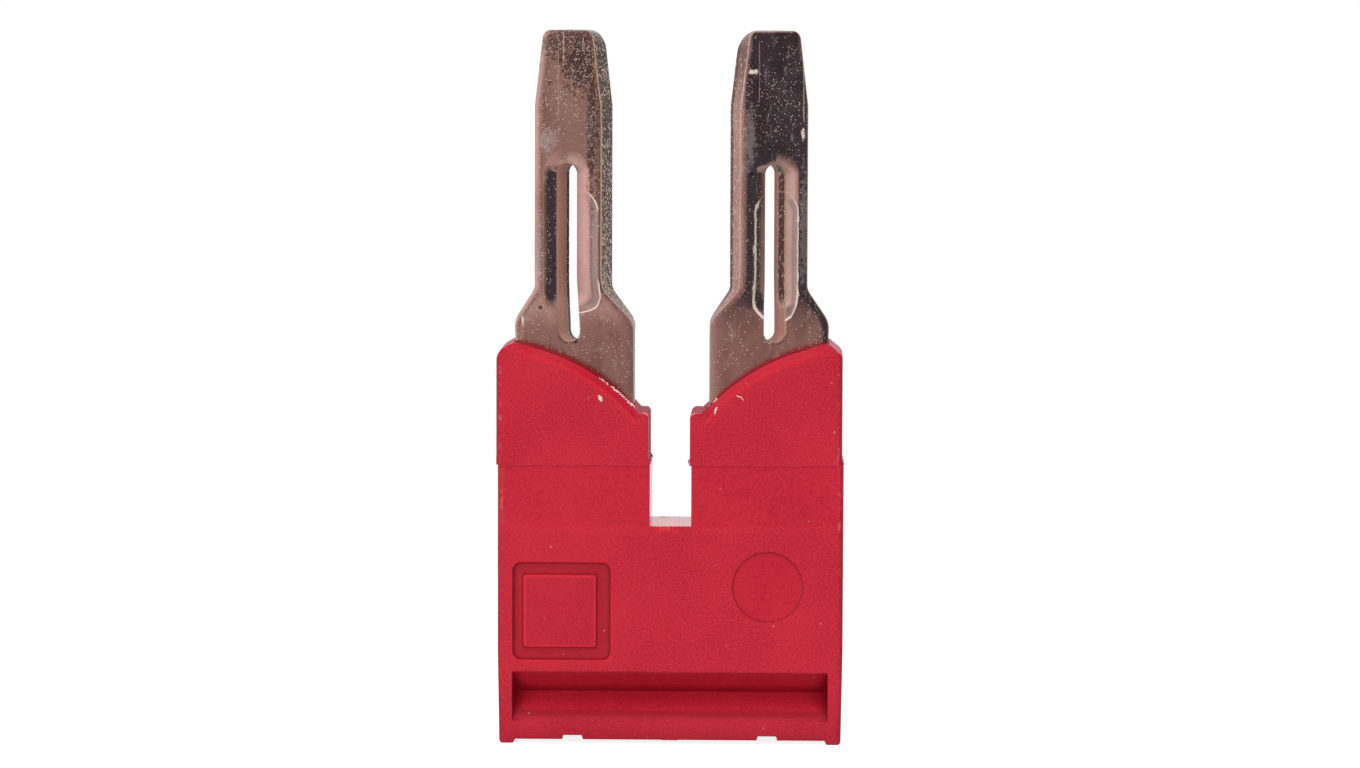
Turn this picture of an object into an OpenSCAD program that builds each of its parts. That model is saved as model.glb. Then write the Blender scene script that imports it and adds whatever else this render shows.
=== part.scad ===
// Two-pole plug-in jumper for terminal blocks, in millimetres.
// It stands on its head: +Z runs along the legs to their tips, X runs across the poles and
// the front, which carries the square recess, faces -Y. The origin is under the middle of the head.

/* [Poles] */
// Distance between the centres of the two legs
pitch = 6.2; // [5.6:0.1:9]

/* [Housing sections] */
// Depth of the housing from front to back
body_d = 3.0; // [2.6:0.1:5]
// Plastic outside each leg's base
side_wall = 0.5; // [0.3:0.05:1.5]
// Plastic between each leg's base and the centre slot
inner_wall = 0.54; // [0.3:0.02:0.8]
// Radius of the upright corner edges
corner_r = 0.2; // [0.05:0.05:0.6]
// Room between the moulding and the comb inside it
pocket_gap = 0.02; // [0.01:0.01:0.1]

/* [Housing heights] */
// Height of the head below the comb's bar
head_h = 3.0; // [2.6:0.1:5]
// Plastic over the bar, under the centre slot
slot_cover = 0.78; // [0.4:0.02:2]
// Height of the ears above the floor of the centre slot
ear_h = 5.82; // [4.5:0.02:8]

/* [Ears] */
// Radius of the arc along the top of each ear
ear_arc_r = 6.58; // [5.5:0.02:12]
// Distance from the housing's side to the outer end of the arc
arc_inset = 0.5; // [0.35:0.05:1]
// Drop of the arc from its outer end to the step beside the centre slot
ear_drop = 2.22; // [1:0.02:3]
// Drop of the outer corner, from the arc's outer end to the housing's side
ear_fall = 0.38; // [0.1:0.02:0.6]
// Radius that rounds the outer corner
ear_corner_r = 0.1; // [0.05:0.01:0.2]
// Width of the flat step beside the centre slot
step_w = 0.34; // [0.2:0.02:0.5]
// Radius of the step's edge along the centre slot
step_r = 0.16; // [0.05:0.01:0.19]
// Width of the bevel under the arc
bevel_w = 0.25; // [0.1:0.01:0.4]

/* [Smooth band] */
// Height of the smooth band above the floor of the centre slot
band_h = 1.92; // [0.5:0.01:3]
// Depth by which the band is set back in the front and the back
band_set = 0.03; // [0.01:0.01:0.1]

/* [Head] */
// Width of each foot rail under the ends of the head
foot_w = 0.44; // [0.3:0.02:1]
// Height of the foot rails
foot_h = 0.13; // [0.05:0.01:0.4]
// Distance from each end of the foot to its rail
foot_inset = 0.02; // [0.01:0.01:0.3]
// Amount by which the sides of the head draw in at the foot
head_draft = 0.07; // [0.01:0.01:0.1]
// Radius along the edges of the foot rails
foot_r = 0.08; // [0.02:0.01:0.1]
// Width of the pole notches in the bottom edge
notch_w = 0.62; // [0.3:0.02:1.2]
// Depth of the pole notches
notch_h = 0.13; // [0.05:0.01:0.4]

/* [Pull-out trough] */
// Height of the trough's lower lip
trough_z = 0.79; // [0.5:0.01:1]
// Height of the trough from its lower lip to its upper edge
trough_h = 1.52; // [1:0.01:1.7]
// Height of the trough's deepest line above the lower lip
trough_valley = 0.8; // [0.5:0.01:0.98]
// Depth of the trough
trough_depth = 0.9; // [0.3:0.05:1]
// Radius of the rounded lower lip
lip_r = 0.3; // [0.1:0.02:0.4]
// Plastic left at each end of the trough
end_wall = 0.48; // [0.3:0.02:1]

/* [Front marks] */
// Side of the square recess
recess_w = 3.12; // [2:0.02:3.4]
// Height of the recess above the trough
recess_rise = 0.37; // [0.2:0.01:0.6]
// Corner radius of the recess
recess_r = 0.27; // [0.1:0.01:0.5]
// Depth of the recess
recess_depth = 0.17; // [0.05:0.01:0.3]
// Side of the plain square pad in the recess
pad_w = 2.31; // [1:0.01:2.6]
// Height of the pad above the floor of the recess
pad_h = 0.1; // [0.02:0.01:0.2]
// Distance of the pad from the recess's middle
pad_shift = -0.06; // [-0.1:0.01:0.1]
// Radius of the ejector mark
ejector_r = 1.11; // [0.5:0.01:1.3]
// Height of the ejector mark's centre above the foot
ejector_z = 5.05; // [4.2:0.05:5.4]
// Depth of the ejector mark
ejector_depth = 0.03; // [0.01:0.01:0.1]

/* [Comb] */
// Thickness of the copper sheet
sheet_t = 1.0; // [0.8:0.05:1.2]
// Height of the bar that joins the legs
bar_h = 3.2; // [2.8:0.1:5]
// Width of each leg's flat base
base_w = 3.8; // [3.4:0.05:4.2]
// Height of the shoulders above the ears
shoulder_rise = 0.64; // [0.3:0.02:2]
// Height of the flare from the shoulders to the neck
flare_h = 1.16; // [0.8:0.02:2]
// Share of the flare that is rounded off into the neck
flare_fillet = 0.25; // [0.05:0.05:0.9]
// Radius that the die rolls along the front edges
roll_r = 0.16; // [0.05:0.01:0.3]

/* [Blades] */
// Width of each blade
blade_w = 2.32; // [2.1:0.02:3]
// Length of the parallel part of the blade
blade_l = 5.7; // [4.5:0.1:9]
// Length of the tapered tip
tip_l = 2.4; // [1.5:0.1:4]
// Width of the tip's end
tip_w = 1.73; // [1.2:0.01:1.9]
// Corner radius of the tip
tip_r = 0.25; // [0.1:0.01:0.5]
// Angle by which each blade is turned about its own axis, its front facing outwards
blade_turn = 20.5; // [0:0.5:30]

/* [Blade slots] */
// Width of the slot in each blade
slot_w = 0.69; // [0.4:0.01:0.9]
// Length of the slot
slot_l = 5.68; // [4:0.02:7]
// Depth of the slot's lower end below the shoulders
slot_drop = 0.66; // [0:0.02:0.9]
// Width of the press along the slot, from the slot's edge to the flat face
press_w = 0.48; // [0.2:0.02:0.55]
// Depth of the press at the slot's edge
press_d = 0.3; // [0.05:0.01:0.4]
// Power by which the press grows steeper towards the slot
press_power = 1.3; // [1:0.1:4]
// Height of the press's lower end above the slot's
press_rise = 1.3; // [0.8:0.05:2]

/* [Hidden] */
$fn = 64;

// Small overshoot for cuts that pass a face
past = 0.5;
// Facets of the rolled edges, the flare and the tip's corners
roll_steps = 4;
flare_steps = 16;
tip_steps = 6;
// Facets of the press from the face inwards and round each of its ends
press_steps = 5;
press_facets = 12;

// Places across the poles
pole_x = pitch / 2;
body_half = pole_x + base_w / 2 + side_wall;
slot_half = pole_x - base_w / 2 - inner_wall;
foot_half = body_half - head_draft;
trough_half = body_half - end_wall;
front_y = -body_d / 2;

// Heights from the foot rails up
bar_z = head_h;
slot_floor_z = bar_z + bar_h + slot_cover;
ear_z = slot_floor_z + ear_h;
shoulder_z = ear_z + shoulder_rise;
neck_z = shoulder_z + flare_h;
taper_z = neck_z + blade_l;
top_z = taper_z + tip_l;
blade_slot_z = shoulder_z - slot_drop;
slot_top_z = blade_slot_z + slot_l;
recess_z = trough_z + trough_h + recess_rise;

// The arc along the top of the right-hand ear, which bulges upwards between its two ends
arc_outer = [body_half - arc_inset, ear_z];
arc_inner = [slot_half + step_w, ear_z - ear_drop];
arc_chord = arc_outer - arc_inner;
arc_rise = sqrt(pow(ear_arc_r, 2) - pow(norm(arc_chord) / 2, 2));
arc_centre = (arc_outer + arc_inner) / 2 + arc_rise * [arc_chord.y, -arc_chord.x] / norm(arc_chord);
step_z = arc_inner.y;

// Share of the way along the flare, 0 at the shoulders and 1 at the neck
function flare_at(z) = min(1, max(0, (z - shoulder_z) / flare_h));

// Straight flare whose last share eases into the neck
function flare_ease(t) =
    t <= 1 - flare_fillet
        ? t / (1 - flare_fillet / 2)
        : 1 - pow(1 - t, 2) / (flare_fillet * (2 - flare_fillet));

// Turn of the leg's section at a height, a smooth step over the flare
function turn_at(z) = let (t = flare_at(z)) blade_turn * t * t * (3 - 2 * t);

// Amount by which the tip's rounded corner cuts in at a height
function tip_cut(z) =
    let (rise = max(0, z - top_z + tip_r))
    tip_r - sqrt(max(0, tip_r * tip_r - rise * rise));

// Half width of the leg at a height: base, flare, blade and tapered tip
function half_width(z) =
    z <= taper_z
        ? (base_w + (blade_w - base_w) * flare_ease(flare_at(z))) / 2
        : (blade_w + (tip_w - blade_w) * (z - taper_z) / tip_l) / 2 - tip_cut(z);

// Section of the leg at a height, square at the back and rolled along its front edges
function leg_section(z, side) =
    let (w = half_width(z), t = sheet_t / 2, r = roll_r, a = side * turn_at(z))
    [for (p = concat(
        [[w, t], [-w, t]],
        [for (i = [0:roll_steps]) [r - w, r - t] + r * unit(180 + 90 * i / roll_steps)],
        [for (i = [0:roll_steps]) [w - r, r - t] + r * unit(270 + 90 * i / roll_steps)]))
        [p.x * cos(a) - p.y * sin(a), p.x * sin(a) + p.y * cos(a), z]];

// Unit vector at an angle
function unit(a) = [cos(a), sin(a)];

// Heights of the leg's sections, close together where it flares and where its tip rounds off
leg_heights = concat(
    [bar_z + bar_h / 2],
    [for (i = [0:flare_steps]) shoulder_z + flare_h * i / flare_steps],
    [taper_z],
    [for (i = [0:tip_steps]) top_z - tip_r + tip_r * sin(90 * i / tip_steps)]);

// Solid through a stack of sections that all have the same number of points
module loft(sections) {
    n = len(sections[0]);
    last = (len(sections) - 1) * n;
    polyhedron(
        points = [for (s = sections) each s],
        faces = concat(
            [[for (j = [0:n - 1]) j]],
            [for (i = [0:n:last - n], j = [0:n - 1]) each
                [[i + j, i + n + j, i + n + (j + 1) % n], [i + j, i + n + (j + 1) % n, i + (j + 1) % n]]],
            [[for (j = [n - 1:-1:0]) last + j]]));
}

// Shape drawn in X and Z, given a depth about the middle plane
module upright(depth) {
    rotate([90, 0, 0]) linear_extrude(depth, center = true) children();
}

// Rectangle from its lower left corner, with round corners
module round_rect(size, r) {
    translate([r, 0]) square([size.x - 2 * r, size.y]);
    translate([0, r]) square([size.x, size.y - 2 * r]);
    for (x = [r, size.x - r], y = [r, size.y - r]) translate([x, y]) circle(r);
}

// Upright slot about the middle, with round ends, from its lower end
module slot_outline(w, l) {
    translate([-w / 2, w / 2]) square([w, l - w]);
    for (y = [w / 2, l - w / 2]) translate([0, y]) circle(w / 2);
}

// Repeats its children on both sides of the middle plane
module both_sides() {
    children();
    mirror([1, 0, 0]) children();
}

// Front outline of the right-hand ear: the arc over the base, the sloped outer corner and the step
module ear_outline() {
    base_z = slot_floor_z - past;
    intersection() {
        offset(ear_corner_r) offset(delta = -ear_corner_r) polygon([
            [slot_half, base_z],
            [body_half, base_z],
            [body_half, ear_z - ear_fall],
            arc_outer,
            [slot_half, ear_z]]);
        translate(arc_centre) circle(ear_arc_r, $fn = 180);
    }
    translate([slot_half, base_z]) round_rect([step_w + step_r, step_z - base_z], step_r);
}

// Front outline of the head and the block, drawn in at the foot, with notches under the poles
module block_outline() {
    difference() {
        polygon([
            [-foot_half, foot_h],
            [foot_half, foot_h],
            [body_half, head_h],
            [body_half, slot_floor_z],
            [-body_half, slot_floor_z],
            [-body_half, head_h]]);
        for (x = [-pole_x, pole_x])
            translate([x - notch_w / 2, foot_h - past]) square([notch_w, past + notch_h]);
    }
    for (x = [foot_inset - foot_half, foot_half - foot_inset - foot_w])
        translate([x, 0]) round_rect([foot_w, foot_h + 2 * foot_r], foot_r);
}

// Cut of the pull-out trough in the front face: one slope in, one slope out over a rounded lip
module trough_cut() {
    lip = [front_y, trough_z];
    valley = lip + [trough_depth, trough_valley];
    slope = atan2(trough_depth, trough_valley);
    lip_t = lip_r * tan(slope / 2);
    lip_centre = lip + [lip_r, -lip_t];
    lip_end = lip + lip_t * [sin(slope), cos(slope)];
    rotate([90, 0, 90]) linear_extrude(2 * trough_half, center = true) {
        polygon([lip - [past, 0], lip, valley, lip + [0, trough_h], lip + [-past, trough_h]]);
        difference() {
            polygon([[lip.x - past, lip_centre.y], lip_centre, lip_end, [lip.x - past, lip_end.y]]);
            translate(lip_centre) circle(lip_r);
        }
    }
}

// Cut of the bevel under an ear's arc: all that lies outside a cone about the arc's centre
module bevel_cut() {
    bevel_r = ear_arc_r - bevel_w;
    translate([0, front_y, 0]) rotate([90, 0, 0]) difference() {
        translate([arc_inner.x, slot_floor_z + ear_h / 2, -body_d / 2])
            cube([body_half, ear_h, body_d / 2 + past]);
        translate([arc_centre.x, arc_centre.y, -body_d])
            cylinder(body_d + 2 * past, bevel_r + body_d, bevel_r - 2 * past, $fn = 180);
    }
}

// Cut that sets the smooth band back in the front face
module band_cut() {
    translate([-body_half - past, front_y - past, slot_floor_z])
        cube([2 * (body_half + past), past + band_set, band_h]);
}

// Cut of the square recess, which leaves its plain pad standing
module recess_cut() {
    pad_edge = (recess_w - pad_w) / 2;
    translate([-trough_half, front_y + recess_depth, recess_z]) rotate([90, 0, 0]) difference() {
        linear_extrude(recess_depth + past) round_rect([recess_w, recess_w], recess_r);
        translate([pad_edge + pad_shift, pad_edge, -past]) cube([pad_w, pad_w, past + pad_h]);
    }
}

// Room for the comb: its bar and the base of each leg, open at the top of the ears
module comb_pocket() {
    g = pocket_gap;
    room_t = sheet_t + 2 * g;
    bar_l = pitch + base_w + 2 * g;
    translate([-bar_l / 2, -room_t / 2, bar_z - g]) cube([bar_l, room_t, bar_h + 2 * g]);
    both_sides() translate([pole_x - base_w / 2 - g, -room_t / 2, bar_z])
        cube([base_w + 2 * g, room_t, top_z]);
}

// The red moulding: head, block and ears, with its trough, marks, slot and pocket
module insulating_housing() {
    color("#c4202e") difference() {
        intersection() {
            upright(body_d) {
                block_outline();
                both_sides() ear_outline();
            }
            translate([-body_half, front_y, 0])
                linear_extrude(top_z) round_rect([2 * body_half, body_d], corner_r);
        }
        for (turn = [0, 180]) rotate([0, 0, turn]) {
            trough_cut();
            band_cut();
            both_sides() bevel_cut();
        }
        recess_cut();
        translate([pole_x, front_y + ejector_depth, ejector_z])
            rotate([90, 0, 0]) cylinder(past, r = ejector_r);
        comb_pocket();
    }
}

// Outline of the press at a share of its way from the face to the slot's edge
function press_section(t) =
    let (r = slot_w / 2 + press_w * (1 - t), y = press_d * pow(t, press_power) - sheet_t / 2)
    [for (end = [0, 1], i = [0:press_facets])
        let (
            p = r * unit(180 * (1 - end - i / press_facets)),
            z = end == 0 ? slot_top_z - slot_w / 2 : blade_slot_z + slot_w / 2 + press_rise)
        [p.x, y, z + p.y]];

// Cut of a blade's slot and of the press along it, square to the turned blade
module slot_cut() {
    into_slot = 1.15;
    upright(4 * sheet_t) translate([0, blade_slot_z]) slot_outline(slot_w, slot_l);
    loft(concat(
        [[for (p = press_section(0)) p - [0, past, 0]]],
        [for (i = [0:press_steps]) press_section(into_slot * i / press_steps)]));
}

// One leg about its own axis: side is 1 on the right and -1 on the left
module leg(side) {
    difference() {
        loft([for (z = leg_heights) leg_section(z, side)]);
        rotate([0, 0, side * blade_turn]) slot_cut();
    }
}

// The tinned copper stamping: the bar in the moulding and its two legs
module contact_comb() {
    color("#a8948c") {
        translate([-pole_x - base_w / 2, -sheet_t / 2, bar_z]) cube([pitch + base_w, sheet_t, bar_h]);
        for (side = [-1, 1]) translate([side * pole_x, 0, 0]) leg(side);
    }
}

insulating_housing();
contact_comb();
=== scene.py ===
"""Looks of a two-pole terminal block jumper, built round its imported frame.

A red moulded housing stands on its head and holds a tinned copper comb, whose two slotted blades
point upwards. Sizes are in millimetres and become metres when a mesh is made.
"""

import logging
import math
from dataclasses import dataclass, field
from enum import Enum
from functools import reduce
from operator import or_
from typing import Generic, TypeVar

import bmesh
import bpy
import numpy as np
from mathutils import Matrix, Vector


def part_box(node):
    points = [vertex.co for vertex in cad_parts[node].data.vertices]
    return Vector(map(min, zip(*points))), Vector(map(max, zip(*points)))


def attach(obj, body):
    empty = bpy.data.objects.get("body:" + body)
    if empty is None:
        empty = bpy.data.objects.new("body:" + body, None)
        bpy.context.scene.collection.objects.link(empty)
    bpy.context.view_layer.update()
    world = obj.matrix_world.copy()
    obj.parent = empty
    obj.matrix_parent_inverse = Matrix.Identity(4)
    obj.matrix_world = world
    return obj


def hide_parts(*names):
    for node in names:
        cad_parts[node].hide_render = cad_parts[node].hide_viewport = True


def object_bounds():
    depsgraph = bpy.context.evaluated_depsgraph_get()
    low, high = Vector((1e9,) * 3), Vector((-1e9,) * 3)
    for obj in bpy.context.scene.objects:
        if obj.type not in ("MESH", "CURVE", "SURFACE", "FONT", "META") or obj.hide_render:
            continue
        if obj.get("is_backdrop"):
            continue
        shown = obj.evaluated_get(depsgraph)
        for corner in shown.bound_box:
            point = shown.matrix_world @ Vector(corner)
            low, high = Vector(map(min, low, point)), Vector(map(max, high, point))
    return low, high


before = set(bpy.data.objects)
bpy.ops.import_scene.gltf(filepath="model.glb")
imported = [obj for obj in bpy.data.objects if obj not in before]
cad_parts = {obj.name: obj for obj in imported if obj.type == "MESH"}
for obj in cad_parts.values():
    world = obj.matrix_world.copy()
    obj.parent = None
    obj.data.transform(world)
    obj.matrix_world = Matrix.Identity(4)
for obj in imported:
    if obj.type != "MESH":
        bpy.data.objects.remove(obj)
CAD_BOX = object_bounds()

Array = np.ndarray
Number = float | Array
Triple = tuple[float, float, float]
Colour = Triple
Inputs = dict[str | int, object]
Kind = TypeVar("Kind")
LOG = logging.getLogger("jumper")

# Metres in a millimetre, and the distance in millimetres under which points are one
MM = 0.001
SEAM = 0.0002
# Distance that keeps the finishes of the two legs apart
LEG_APART = 20.0
# Marks that every metal piece carries, with the width of each
METAL_MARKS = {"place": 3, "shear_and_painted_shade": 1, "bare": 1, "rub_and_painted_reflection": 1, "flake": 1, "painted_sheen": 1}
WHITE = (1.0, 1.0, 1.0)


class Face(Enum):
    """The two broad faces, by the sign of their Y."""

    FRONT = -1.0
    BACK = 1.0


class Hand(Enum):
    """The two poles, by the sign of their X."""

    LEFT = -1.0
    RIGHT = 1.0


class Wall(Enum):
    """Ways in which the die left a sheared wall."""

    TORN = "torn"
    BURNISHED = "burnished"
    SLOT = "slot"


@dataclass(frozen=True)
class Pair(Generic[Kind]):
    """What the left and the right pole have each."""

    left: Kind
    right: Kind

    def __getitem__(self, hand: Hand) -> Kind:
        """What one pole has."""
        return self.left if hand is Hand.LEFT else self.right


@dataclass(frozen=True)
class Spot:
    """A local mark on the front of a leg: its middle, its reach across and up, and its strength."""

    hand: Hand
    x: float
    z: float
    wide: float
    high: float
    strength: float = 1.0


def ease(value: Array, start: Number = 0.0, width: float = 1.0) -> Array:
    """Smooth step over a width: three times the square less twice the cube of the share of it."""
    t = np.clip((value - start) / width, 0.0, 1.0)
    return t * t * (3.0 - 2.0 * t)


def fade(value: Array, start: Number = 0.0, width: float = 1.0) -> Array:
    """What the smooth step leaves of 1."""
    return 1.0 - ease(value, start, width)


def bell(gap: Array, width: Number) -> Array:
    """Bell curve: e to the power of less the square of the gap over the width."""
    return np.exp(-((gap / width) ** 2))


def above_zero(value: Array, blend: Number) -> Array:
    """Positive part of a value, rounded off: half of the value plus its length with the blend."""
    return 0.5 * (value + np.sqrt(value * value + blend * blend))


def bent(value: Array, reach: float) -> Array:
    """Positive part of a value, with a parabola in place of the corner within the reach of 0."""
    return np.where(np.abs(value) < reach, (value + reach) ** 2 / (4.0 * reach), np.maximum(value, 0.0))


def corner_cut(past: Array, radius: float) -> Array:
    """Amount that a round corner takes off, past its start: the radius less its chord there."""
    into = np.clip(past, 0.0, radius)
    return radius - np.sqrt(radius**2 - into**2)


def from_stadium(x: Array, z: Array, half: float, low: float, high: float) -> Array:
    """Distance from an upright stadium, below 0 inside: from its middle line, less its half width.

    Args:
        x: Places across, from its middle.
        z: Heights.
        half: Its half width.
        low: Height of its lower end.
        high: Height of its upper end.

    Returns:
        The distance at each place.
    """
    middle = np.clip(z, low + half, high - half)
    return np.hypot(x, z - middle) - half


def rolled(gap: Array, width: Number, depth: Number) -> Array:
    """Depth of a rolled edge: a quarter ellipse that is full at the edge and gone at the width.

    Args:
        gap: Distance from the edge.
        width: Distance at which the roll starts.
        depth: Depth that it reaches at the edge.

    Returns:
        The depth at each gap.
    """
    s = np.clip(1.0 - gap / width, 0.0, 1.0)
    return depth * (1.0 - np.sqrt(1.0 - s * s))


def roll_lines(width: float, steps: int) -> Array:
    """Distances from an edge that follow a rolled edge in even turns: width less its sine."""
    return width * (1.0 - np.sin(np.linspace(0.0, math.pi / 2, steps)))


def ripple(*places: Array) -> Array:
    """Uneven wave between 0 and 1: the mean of three sines whose pitches share no common measure."""
    s = sum(places)
    return 0.5 + (np.sin(7.3 * s) + np.sin(17.9 * s + 1.3) + np.sin(41.7 * s + 0.4)) / 6.0


def merge_lines(*groups: Array, apart: float = 0.006) -> Array:
    """Sorted grid lines of several groups, where earlier groups displace close lines of later ones.

    Args:
        groups: Places of the lines, the most important group first.
        apart: Least distance from a line of an earlier group.

    Returns:
        The lines in rising order.
    """
    kept = np.asarray(groups[0], float)
    for group in groups[1:]:
        new = np.asarray(group, float)
        far = np.abs(new[:, None] - kept[None, :]).min(axis=1) > apart
        kept = np.concatenate([kept, new[far]])
    return np.sort(kept)


def stack(x: Number, y: Number, z: Number) -> Array:
    """Points from three arrays of places that are brought to one shape."""
    return np.stack(np.broadcast_arrays(x, y, z), axis=-1)


def arc_middle(outer: Array, inner: Array, radius: float) -> Array:
    """Centre of the arc that bulges upwards between two points.

    It lies on the line square to the chord through its middle, at the distance that the radius
    and half of the chord leave.

    Args:
        outer: Outer end of the arc.
        inner: Inner end of the arc.
        radius: Radius of the arc.

    Returns:
        The centre.
    """
    chord = outer - inner
    length = np.hypot(*chord)
    square = np.array([chord[1], -chord[0]]) / length
    return (outer + inner) / 2 + math.sqrt(radius**2 - length**2 / 4) * square


class Shell:
    """Grids of points that are gathered and sewn into one closed mesh.

    Each grid carries marks: named values at its points, which a finish reads later.
    """

    def __init__(self, **widths: int) -> None:
        """Starts an empty shell.

        Args:
            widths: For each mark, 1 for a number or 3 for a vector.
        """
        self.widths = widths
        self.points: list[Array] = []
        self.faces: list[list[int]] = []
        self.marks: dict[str, list[Array]] = {name: [] for name in widths}
        self.total = 0

    def grid(self, points: Array, keep: Array | None = None, **marks: Number) -> None:
        """Adds a grid of points, with a face in each cell.

        Args:
            points: Rows and columns of points.
            keep: Cells that get a face, or None for all of them.
            marks: Values at the points, or one value for all of them.
        """
        rows, columns = points.shape[:2]
        index = self.total + np.arange(rows * columns).reshape(rows, columns)
        corners = [index[:-1, :-1], index[:-1, 1:], index[1:, 1:], index[1:, :-1]]
        quads = np.stack(corners, axis=-1)
        shown = np.ones(quads.shape[:2], bool) if keep is None else keep
        self.faces += quads[shown].tolist()
        self.store(points.reshape(-1, 3), marks)

    def polygon(self, points: Array) -> None:
        """Adds one flat face with any number of corners."""
        self.faces.append(list(range(self.total, self.total + len(points))))
        self.store(points, {})

    def store(self, points: Array, marks: dict[str, Number]) -> None:
        """Keeps points and their marks; a mark that isn't given is 0.

        Args:
            points: The points, one a row.
            marks: Values at the points, or one value for all of them.
        """
        for name, width in self.widths.items():
            value = np.asarray(marks.get(name, 0.0), float)
            rows = np.full((len(points), width), value) if value.ndim == 0 else value.reshape(-1, width)
            self.marks[name].append(rows)
        self.points.append(points)
        self.total += len(points)

    def sew(self, name: str, crease: float) -> bpy.types.Object:
        """Makes the mesh, joins the grids along their shared edges and turns all faces outwards.

        Args:
            name: Name of the piece.
            crease: Angle in degrees above which an edge stays sharp.

        Returns:
            The piece, linked into the scene.
        """
        mesh = bpy.data.meshes.new(name)
        mesh.from_pydata(np.concatenate(self.points) * MM, [], self.faces)
        for mark, width in self.widths.items():
            layer = mesh.attributes.new(mark, "FLOAT" if width == 1 else "FLOAT_VECTOR", "POINT")
            values = np.concatenate(self.marks[mark]).astype(np.float32).ravel()
            layer.data.foreach_set("value" if width == 1 else "vector", values)
        body = bmesh.new()
        body.from_mesh(mesh)
        bmesh.ops.remove_doubles(body, verts=body.verts[:], dist=SEAM * MM)
        bmesh.ops.recalc_face_normals(body, faces=body.faces[:])
        body.to_mesh(mesh)
        body.free()
        mesh.shade_smooth()
        mesh.set_sharp_from_angle(angle=math.radians(crease))
        piece = bpy.data.objects.new(name, mesh)
        bpy.context.scene.collection.objects.link(piece)
        return piece


class Value:
    """A shader value that takes part in sums: each operator adds the node that works it out."""

    def __init__(self, wiring: "Wiring", socket: bpy.types.NodeSocket) -> None:
        """Keeps the socket and the wiring that it belongs to."""
        self.wiring = wiring
        self.socket = socket

    def __add__(self, other: "Value | float") -> "Value":
        """Sum of both."""
        return self.wiring.math("ADD", self, other)

    def __sub__(self, other: "Value | float") -> "Value":
        """This value less the other."""
        return self.wiring.math("SUBTRACT", self, other)

    def __rsub__(self, other: float) -> "Value":
        """A number less this value."""
        return self.wiring.math("SUBTRACT", other, self)

    def __mul__(self, other: "Value | float") -> "Value":
        """Product of both."""
        return self.wiring.math("MULTIPLY", self, other)

    def __truediv__(self, other: "Value | float") -> "Value":
        """This value divided by the other."""
        return self.wiring.math("DIVIDE", self, other)

    def __rtruediv__(self, other: float) -> "Value":
        """A number divided by this value."""
        return self.wiring.math("DIVIDE", other, self)

    def __or__(self, other: "Value | float") -> "Value":
        """Greater of both."""
        return self.wiring.math("MAXIMUM", self, other)

    def __abs__(self) -> "Value":
        """Size without the sign."""
        return self.wiring.math("ABSOLUTE", self)

    def span(self, low: float, high: float, start: float = 0.0, end: float = 1.0) -> "Value":
        """Smooth step of the value from low to high, going from start to end."""
        places = {"Value": self, "From Min": low, "From Max": high, "To Min": start, "To Max": end}
        return self.wiring.value("ShaderNodeMapRange", places, interpolation_type="SMOOTHSTEP")

    def fall(self, low: float, high: float) -> "Value":
        """Smooth step of the value from low to high, going down from 1 to 0."""
        return self.span(low, high, 1.0, 0.0)


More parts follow.
